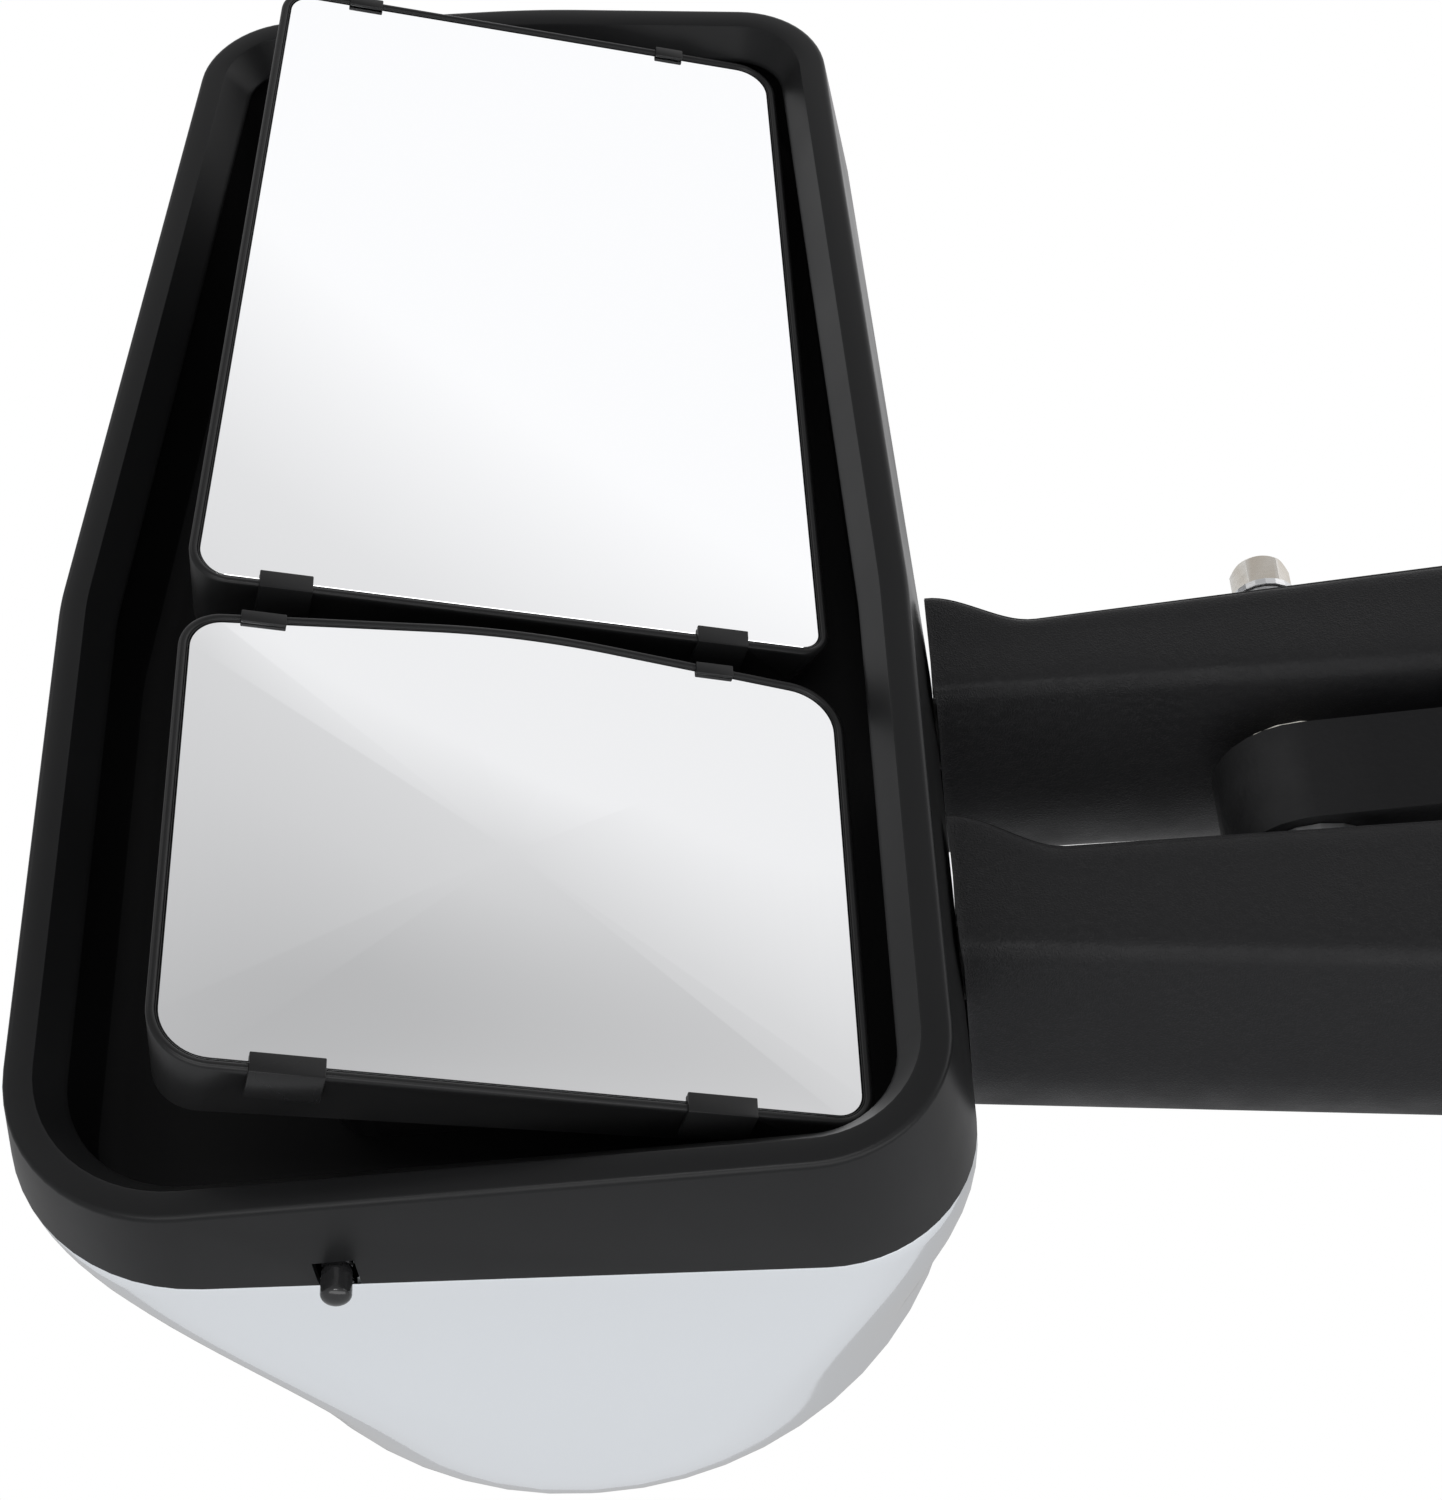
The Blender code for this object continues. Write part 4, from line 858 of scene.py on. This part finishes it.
# %% Both glasses
for label, look in (("upper", FLAT_GLASS), ("lower", CONVEX_GLASS)):
    outline = [(x * MM, z * MM, radius * MM) for x, z, radius in GLASSES[label]["corners"]]
    make_glass(label, outline, GLASSES[label]["crown"], look)
    holder = make_holder(label, outline)
    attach(holder, f"{label}_tilt")
    print(holder.name, len(holder.data.polygons), "faces")

# %% [markdown]
# The CAD holder also has the ears and cups that the drive pushes on. The new skirt is only a skin over
# it, so those come from a copy of the node, cut down to what lies behind the plate.

# %% Ears and cups of the holders
def welded_copy(name, source, look):
    """A copy of a node's mesh with its loose triangles welded, and flat ones merged."""
    mesh = frame["nodes"][source].data.copy()
    obj = bpy.data.objects.new(name, mesh)
    bpy.context.scene.collection.objects.link(obj)
    mesh.materials.clear()
    mesh.materials.append(look)
    work = bmesh.new()
    work.from_mesh(mesh)
    bmesh.ops.remove_doubles(work, verts=work.verts, dist=1e-6)
    bmesh.ops.dissolve_limit(work, angle_limit=radians(1), verts=work.verts, edges=work.edges)
    work.to_mesh(mesh)
    work.free()
    return obj


for label in ("upper", "lower"):
    plate_back = -STAND + GLASS_THICK + 2 * GAP + 0.8 * MM + 2.5 * MM
    core = welded_copy(f"{label}_holder_core", f"{label}_holder", RIM_PLASTIC)
    window = moved(box((-40 * MM, plate_back - 1.2 * MM, -40 * MM), (70 * MM, 40 * MM, 70 * MM)), swing(label))
    boolean(core, window, "INTERSECT")
    finish_piece(core, f"{label}_tilt", f"{label}_holder")

# %% [markdown]
# ## The double arm
#
# Two grained covers run from the head to the fold axis and past it. Their section has a flat rear face
# that turns under, a domed top and a deep belly. A Catmull-Rom curve through a few points keeps the
# section soft, and the section grows a little flare where it meets the head.

# %% Beam sizes
BEAM_REAR = 38 * MM
BEAM_DEPTH = 98 * MM
CREST = 18.5 * MM
DIP = 35 * MM
BEAM_WALL = 3 * MM
FLARE = 16 * MM
FLARE_RUN = 38 * MM
BEAM_LINES = {"upper": (-44 * MM, 0.048, -72 * MM, -0.033), "lower": (-140.5 * MM, -0.025, -180 * MM, -0.124)}
REFERENCE_X = 160 * MM
WALL_X = 150 * MM
SLIT = 0.8 * MM
BEAM_END = (FOLD.x - HEAD.x) + 90 * MM
END_CORNER = 24 * MM


# %% Smooth closed section
def smooth_closed(points, steps=5):
    """A Catmull-Rom curve through every point of a closed row."""
    count = len(points)
    curve = []
    for i in range(count):
        a, b, c, d = (Vector(points[(i + k) % count]) for k in (-1, 0, 1, 2))
        for k in range(steps):
            t = k / steps
            curve.append(0.5 * ((2 * b) + (c - a) * t + (2 * a - 5 * b + 4 * c - d) * t * t
                                + (3 * b - a - 3 * c + d) * t ** 3))
    return curve


def head_wall(y):
    """Where the head's side wall stands at a depth behind the rim."""
    return WALL_X + SIDE_FLARE * min(y, SEAM_DEPTH) + SLIT


def beam_section(x, label, inset, squeeze=1.0, lift=0.0, follow=0.0):
    crest_z, crest_slope, low_z, low_slope = BEAM_LINES[label]
    crest_z += crest_slope * (x - REFERENCE_X)
    low_z += low_slope * (x - REFERENCE_X)
    stretch = (crest_z - low_z) / (2 * CREST)
    rear, nose = BEAM_REAR, BEAM_REAR + BEAM_DEPTH
    middle = (rear + nose) / 2
    crest = CREST + lift
    shape = [
        (rear + inset, -CREST + 5 * MM),
        (rear + inset, crest * 0.3),
        (rear + inset, crest - 5 * MM),
        (rear + 1.5 * MM + inset, crest - 1.5 * MM - inset * 0.4),
        (rear + 6 * MM + inset * 0.4, crest - inset),
        (rear + 40 * MM, crest + 1 * MM - inset),
        (rear + 70 * MM, crest - 3 * MM - inset),
        (nose - 12 * MM - inset * 0.4, 6 * MM - inset * 0.6),
        (nose - 3 * MM - inset, -4 * MM),
        (nose - inset, -12 * MM),
        (nose - 4 * MM - inset * 0.8, -22 * MM + inset * 0.5),
        (nose - 18 * MM, -DIP + 4 * MM + inset),
        (nose - 40 * MM, -DIP + inset),
        (rear + 32 * MM, -DIP + 6 * MM + inset),
        (rear + 11 * MM + inset * 0.3, -CREST - 4 * MM + inset),
        (rear + 3 * MM + inset * 0.8, -CREST - 0.5 * MM + inset * 0.7),
    ]

    def height(z):
        if z > CREST:
            place = crest_z + z - CREST
        elif z > -CREST:
            place = crest_z + (z - CREST) * stretch
        else:
            place = low_z + z + CREST
        centre = (crest_z + low_z) / 2
        return centre + (place - centre) * (0.5 + squeeze / 2)

    section = []
    for y, z in smooth_closed([(y, height(z)) for y, z in shape]):
        wall = (head_wall(y) - HEAD_END) * follow
        section.append(from_head(x + wall, middle + (y - middle) * squeeze, z))
    return section


# %% Beam skins
HEAD_END = WALL_X + SIDE_FLARE * SEAM_DEPTH + SLIT


def beam_loops(label, inset):
    loops = []
    steps = 14
    for k in range(steps + 1):
        near = 1 - k / steps
        x = HEAD_END + FLARE_RUN * k / steps
        loops.append(beam_section(x, label, inset, lift=FLARE * near * near * (3 - 2 * near), follow=near))
    for k in range(1, 9):
        x = HEAD_END + FLARE_RUN + (BEAM_END - END_CORNER - HEAD_END - FLARE_RUN) * k / 8
        loops.append(beam_section(x, label, inset))
    corner = END_CORNER - inset
    for k in range(1, 11):
        angle = radians(86 * k / 10)
        squeeze = 1 - 2 * corner * (1 - cos(angle)) / (BEAM_DEPTH - 2 * inset)
        loops.append(beam_section(BEAM_END - END_CORNER + corner * sin(angle), label, inset, squeeze))
    return loops


SLEEVE = 9.9 * MM
for label in BEAM_LINES:
    beam = add_mesh(f"{label}_arm_shell", shell(beam_loops(label, 0), beam_loops(label, BEAM_WALL)), ARM_PLASTIC)
    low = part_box("thrust_washer")[0].z if label == "upper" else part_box("detent_plate")[0].z - 20 * MM
    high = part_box("spring_washer_1")[0].z
    boolean(beam, moved(turned([(SLEEVE, low), (SLEEVE, high)]), Matrix.Translation((FOLD.x, FOLD.y, 0))),
            "DIFFERENCE")
    shade(beam, radians(40))
    finish_piece(beam, "head", f"{label}_beam_cover")

# %% [markdown]
# ## The fold bolt
#
# A real hex head is a hexagonal prism whose corners were chamfered on a lathe, which leaves curved
# edges on the flats. The same two shapes are intersected here.

# %% Hex head
ACROSS = 19 * MM
HEX_HEIGHT = 14 * MM
BOLT_RADIUS = 6 * MM
low_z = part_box("pivot_washer")[1].z + GAP
at_fold = Matrix.Translation((FOLD.x, FOLD.y, 0))
corner = ACROSS / 2 / cos(pi / 6)
prism = turned([(corner, low_z), (corner, low_z + HEX_HEIGHT)], 6)
bolt = add_mesh("fold_bolt", moved(prism, at_fold), NICKEL)
chamfer = [(corner - 0.9 * MM, low_z - 0.01 * MM), (corner + 0.1 * MM, low_z + 0.6 * MM),
           (corner + 0.1 * MM, low_z + HEX_HEIGHT - 3.2 * MM), (corner - 1.6 * MM, low_z + HEX_HEIGHT - 1.3 * MM),
           (corner - 3.4 * MM, low_z + HEX_HEIGHT - 0.1 * MM), (corner - 3.9 * MM, low_z + HEX_HEIGHT + 0.01 * MM)]
boolean(bolt, moved(turned(chamfer, 96), at_fold), "INTERSECT")
shank_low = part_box("pivot_bolt")[0].z
shank = [(BOLT_RADIUS - 1.2 * MM, shank_low), (BOLT_RADIUS - 0.3 * MM, shank_low + 1 * MM),
         (BOLT_RADIUS - 0.3 * MM, shank_low + 14 * MM), (BOLT_RADIUS, shank_low + 14.6 * MM),
         (BOLT_RADIUS, low_z + 2 * MM)]
boolean(bolt, moved(turned(shank), at_fold), "UNION")
finish_piece(bolt, "head", "pivot_bolt")

# %% [markdown]
# ## The temperature sensor
#
# A glossy peg with a domed tip looks out of the notch, held by a bright spring clip. It is a turned
# profile whose dome is a quarter ellipse.

# %% Sensor peg
SENSOR_RADIUS = 5 * MM
sensor_low, sensor_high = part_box("temperature_sensor")
DOME = 3.4 * MM
dome = [(SENSOR_RADIUS * sin(radians(8 + 82 * k / 9)), DOME * (1 - cos(radians(8 + 82 * k / 9)))) for k in range(10)]
profile = [(radius, sensor_low.z + rise) for radius, rise in dome]
profile += [(SENSOR_RADIUS, sensor_high.z - 15 * MM), (SENSOR_RADIUS - 0.5 * MM, sensor_high.z - 14.6 * MM),
            (SENSOR_RADIUS - 0.5 * MM, sensor_high.z - 13 * MM), (SENSOR_RADIUS, sensor_high.z - 12.6 * MM),
            (SENSOR_RADIUS, sensor_high.z)]
GLOSS = satin_plastic("glossy_black_plastic", (0.012, 0.012, 0.0125), 0.16, 0.5)
sensor = add_mesh("sensor_peg", moved(turned(profile), Matrix.Translation(from_head(*SENSOR, -HEAD.z))), GLOSS)
finish_piece(sensor, "head", "temperature_sensor")

# %% [markdown]
# ## The door side
#
# The bracket is a casting, so its edges are rounded. A copy of the node is welded and bevelled. The same
# goes for the gasket and the pressed steel pieces inside.

# %% Bevelled copies
BEVELLED = [
    ("bracket_casting", "door_bracket", "door_mount", CAST_PAINT, 1.6 * MM),
    ("door_pad", "door_gasket", "door_mount", RUBBER, 0.6 * MM),
    ("frame_plate", "head_frame", "head", STEEL, 0.5 * MM),
    ("upper_saddle", "upper_tube_clamp", "head", STEEL, 0.4 * MM),
    ("lower_saddle", "lower_tube_clamp", "head", STEEL, 0.4 * MM),
    ("fold_nut", "pivot_nut", "head", ZINC, 0.5 * MM),
]
for name, source, body, look, width in BEVELLED:
    piece = welded_copy(name, source, look)
    shade(piece)
    bevel(piece, width, 3, 40)
    finish_piece(piece, body, source)

# %% [markdown]
# ## Screw threads
#
# The studs and the fold bolt's end carry a thread. One Geometry Nodes tree winds a small triangle along
# a spiral. Its pitch, radius and number of turns are inputs, so one tree serves every thread.

# %% Thread tree
def make_thread_tree():
    tree = bpy.data.node_groups.new("thread", "GeometryNodeTree")
    sizes = {}
    for label, kind in (("Radius", "NodeSocketFloat"), ("Pitch", "NodeSocketFloat"), ("Turns", "NodeSocketFloat"),
                        ("Depth", "NodeSocketFloat"), ("Look", "NodeSocketMaterial")):
        sizes[label] = tree.interface.new_socket(label, in_out="INPUT", socket_type=kind)
    tree.interface.new_socket("Geometry", in_out="OUTPUT", socket_type="NodeSocketGeometry")
    given, out = tree.nodes.new("NodeGroupInput"), tree.nodes.new("NodeGroupOutput")
    spiral = tree.nodes.new("GeometryNodeCurveSpiral")
    spiral.inputs["Resolution"].default_value = 28
    height = tree.nodes.new("ShaderNodeMath")
    height.operation = "MULTIPLY"
    tree.links.new(given.outputs["Pitch"], height.inputs[0])
    tree.links.new(given.outputs["Turns"], height.inputs[1])
    tree.links.new(given.outputs["Turns"], spiral.inputs["Rotations"])
    tree.links.new(given.outputs["Radius"], spiral.inputs["Start Radius"])
    tree.links.new(given.outputs["Radius"], spiral.inputs["End Radius"])
    tree.links.new(height.outputs[0], spiral.inputs["Height"])
    ridge = tree.nodes.new("GeometryNodeCurvePrimitiveCircle")
    ridge.inputs["Resolution"].default_value = 4
    tree.links.new(given.outputs["Depth"], ridge.inputs["Radius"])
    sweep = tree.nodes.new("GeometryNodeCurveToMesh")
    sweep.inputs["Fill Caps"].default_value = True
    tree.links.new(spiral.outputs["Curve"], sweep.inputs["Curve"])
    tree.links.new(ridge.outputs["Curve"], sweep.inputs["Profile Curve"])
    real = tree.nodes.new("GeometryNodeRealizeInstances")
    paint = tree.nodes.new("GeometryNodeSetMaterial")
    tree.links.new(sweep.outputs["Mesh"], real.inputs["Geometry"])
    tree.links.new(real.outputs["Geometry"], paint.inputs["Geometry"])
    tree.links.new(given.outputs["Look"], paint.inputs["Material"])
    tree.links.new(paint.outputs["Geometry"], out.inputs["Geometry"])
    return tree, {label: socket.identifier for label, socket in sizes.items()}


THREAD, THREAD_SOCKETS = make_thread_tree()


# %% Wind the threads
def wind(name, place, radius, pitch, turns, look, body):
    obj = bpy.data.objects.new(name, bpy.data.meshes.new(name))
    bpy.context.scene.collection.objects.link(obj)
    step = obj.modifiers.new("thread", "NODES")
    step.node_group = THREAD
    values = {"Radius": radius, "Pitch": pitch, "Turns": float(turns), "Depth": pitch * 0.42, "Look": look}
    for label, value in values.items():
        step[THREAD_SOCKETS[label]] = value
    bake(obj)
    obj.data.transform(place)
    shade(obj, radians(50))
    return finish_piece(obj, body)


PITCH = 1.25 * MM
for index in range(1, 5):
    low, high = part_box(f"door_stud_{index}")
    middle = (low + high) / 2
    place = along((1, 0, 0), (high.x - 15 * MM, middle.y, middle.z))
    wind(f"stud_thread_{index}", place, 3.75 * MM, PITCH, 10, ZINC, "door_mount")
wind("bolt_thread", Matrix.Translation((FOLD.x, FOLD.y, shank_low + 1.2 * MM)), BOLT_RADIUS - 0.45 * MM,
     PITCH, 8, NICKEL, "head")

# %% [markdown]
# ## Floor and light
#
# The floor is pale and lies below both the object and the camera. Far from the object it fades to plain
# white, so no horizon shows. Seen from underneath it is clear, so that a low view isn't blocked.

# %% Floor
FLOOR_Z = -0.70
FLOOR_HALF = 12.0


def floor_material():
    made = bpy.data.materials.new("pale_floor")
    made.use_nodes = True
    tree = made.node_tree
    tree.nodes.remove(tree.nodes["Principled BSDF"])
    out = tree.nodes["Material Output"]
    matt = node(tree, "ShaderNodeBsdfDiffuse")
    matt.inputs["Color"].default_value = (0.86, 0.87, 0.88, 1.0)
    glow = node(tree, "ShaderNodeEmission")
    clear = node(tree, "ShaderNodeBsdfTransparent")
    away = node(tree, "ShaderNodeVectorMath", operation="LENGTH")
    tree.links.new(node(tree, "ShaderNodeTexCoord").outputs["Object"], away.inputs[0])
    fade = node(tree, "ShaderNodeMapRange", interpolation_type="SMOOTHSTEP")
    fade.inputs["From Min"].default_value = 1.2
    fade.inputs["From Max"].default_value = 3.2
    tree.links.new(away.outputs["Value"], fade.inputs["Value"])
    seen = node(tree, "ShaderNodeLightPath").outputs["Is Camera Ray"]
    to_white = node(tree, "ShaderNodeMixShader")
    tree.links.new(math_node(tree, "MULTIPLY", fade.outputs["Result"], seen), to_white.inputs[0])
    tree.links.new(matt.outputs[0], to_white.inputs[1])
    tree.links.new(glow.outputs[0], to_white.inputs[2])
    under = node(tree, "ShaderNodeMixShader")
    tree.links.new(node(tree, "ShaderNodeNewGeometry").outputs["Backfacing"], under.inputs[0])
    tree.links.new(to_white.outputs[0], under.inputs[1])
    tree.links.new(clear.outputs[0], under.inputs[2])
    tree.links.new(under.outputs[0], out.inputs["Surface"])
    return made


floor_points = [(x * FLOOR_HALF + HEAD.x, y * FLOOR_HALF, FLOOR_Z) for x, y in ((-1, -1), (1, -1), (1, 1), (-1, 1))]
floor = bpy.data.objects.new("floor", bpy.data.meshes.new("floor"))
floor.data.from_pydata(floor_points, [], [(0, 1, 2, 3)])
floor.data.materials.append(floor_material())
bpy.context.scene.collection.objects.link(floor)

# %% [markdown]
# The world is a bright studio. What the camera sees is white. What metal and glass see is a cove that
# is grey near the ground and turns white overhead and towards the door side.

# %% World
world = bpy.data.worlds.new("studio")
bpy.context.scene.world = world
world.use_nodes = True
sky = world.node_tree
backdrop = sky.nodes["Background"]
direction = node(sky, "ShaderNodeTexCoord").outputs["Generated"]
parts = node(sky, "ShaderNodeSeparateXYZ")
sky.links.new(direction, parts.inputs["Vector"])
slant = math_node(sky, "ADD", parts.outputs["Z"], math_node(sky, "MULTIPLY", parts.outputs["X"], 0.45))
tone = node(sky, "ShaderNodeValToRGB")
STOPS = [(0.0, 0.50), (0.30, 0.48), (0.55, 0.46), (0.65, 0.56), (0.72, 0.73), (0.757, 0.79), (0.81, 1.0)]
for position, value in STOPS[1:-1]:
    tone.color_ramp.elements.new(position).color = (value, value, value * 1.01, 1.0)
for index in (0, -1):
    position, value = STOPS[index]
    tone.color_ramp.elements[index].position = position
    tone.color_ramp.elements[index].color = (value, value, value * 1.01, 1.0)
sky.links.new(slant, tone.inputs["Fac"])
sky.links.new(tone.outputs["Color"], backdrop.inputs["Color"])
backdrop.inputs["Strength"].default_value = 1.0
plain = node(sky, "ShaderNodeBackground")
plain.inputs["Color"].default_value = (1.0, 1.0, 1.0, 1.0)
choose = node(sky, "ShaderNodeMixShader")
sky.links.new(node(sky, "ShaderNodeLightPath").outputs["Is Camera Ray"], choose.inputs[0])
sky.links.new(backdrop.outputs[0], choose.inputs[1])
sky.links.new(plain.outputs[0], choose.inputs[2])
sky.links.new(choose.outputs[0], sky.nodes["World Output"].inputs["Surface"])

# %% [markdown]
# Soft boxes add the long highlights: one high on the outboard side, one on the door side, and a low one
# that lifts the undersides.

# %% Soft boxes
def soft_box(name, place, target, width, height, power):
    data = bpy.data.lights.new(name, "AREA")
    data.shape = "RECTANGLE"
    data.size = width
    data.size_y = height
    data.energy = power
    light = bpy.data.objects.new(name, data)
    light.location = place
    light.rotation_euler = (Vector(target) - Vector(place)).to_track_quat("-Z", "Y").to_euler()
    bpy.context.scene.collection.objects.link(light)
    return light


soft_box("key_box", HEAD + Vector((-1.6, -1.4, 1.5)), HEAD, 1.4, 1.4, 5)
soft_box("door_box", HEAD + Vector((1.9, -0.6, 0.5)), HEAD, 0.8, 1.6, 6)
soft_box("low_box", HEAD + Vector((0.2, -0.2, -0.78)), HEAD + Vector((0.1, 0.1, -0.2)), 1.6, 0.5, 5)
soft_box("edge_box", HEAD + Vector((0.15, -1.35, -0.62)), HEAD + Vector((0.05, 0.0, -0.15)), 0.7, 0.16, 4)

# %% [markdown]
# ## Camera
#
# The camera stands low behind the vehicle and looks up at the head, with a long lens and a slight roll.

# %% Camera
CAMERA_FROM_HEAD = Vector((137.92, -790.83, -720.58)) * MM
RIGHT = Vector((0.99431, 0.09914, -0.03891))
UP = Vector((0.09086, -0.59900, 0.79558))
FORWARD = Vector((-0.05556, 0.79459, 0.60460))
lens = bpy.data.cameras.new("camera")
lens.lens = 72
lens.sensor_width = 36
lens.clip_start = 0.01
camera = bpy.data.objects.new("camera", lens)
columns = Matrix((RIGHT, UP, -FORWARD)).transposed().to_4x4()
camera.matrix_world = Matrix.Translation(HEAD + CAMERA_FROM_HEAD) @ columns
bpy.context.scene.collection.objects.link(camera)
bpy.context.scene.camera = camera
bpy.context.scene.view_settings.view_transform = "Standard"
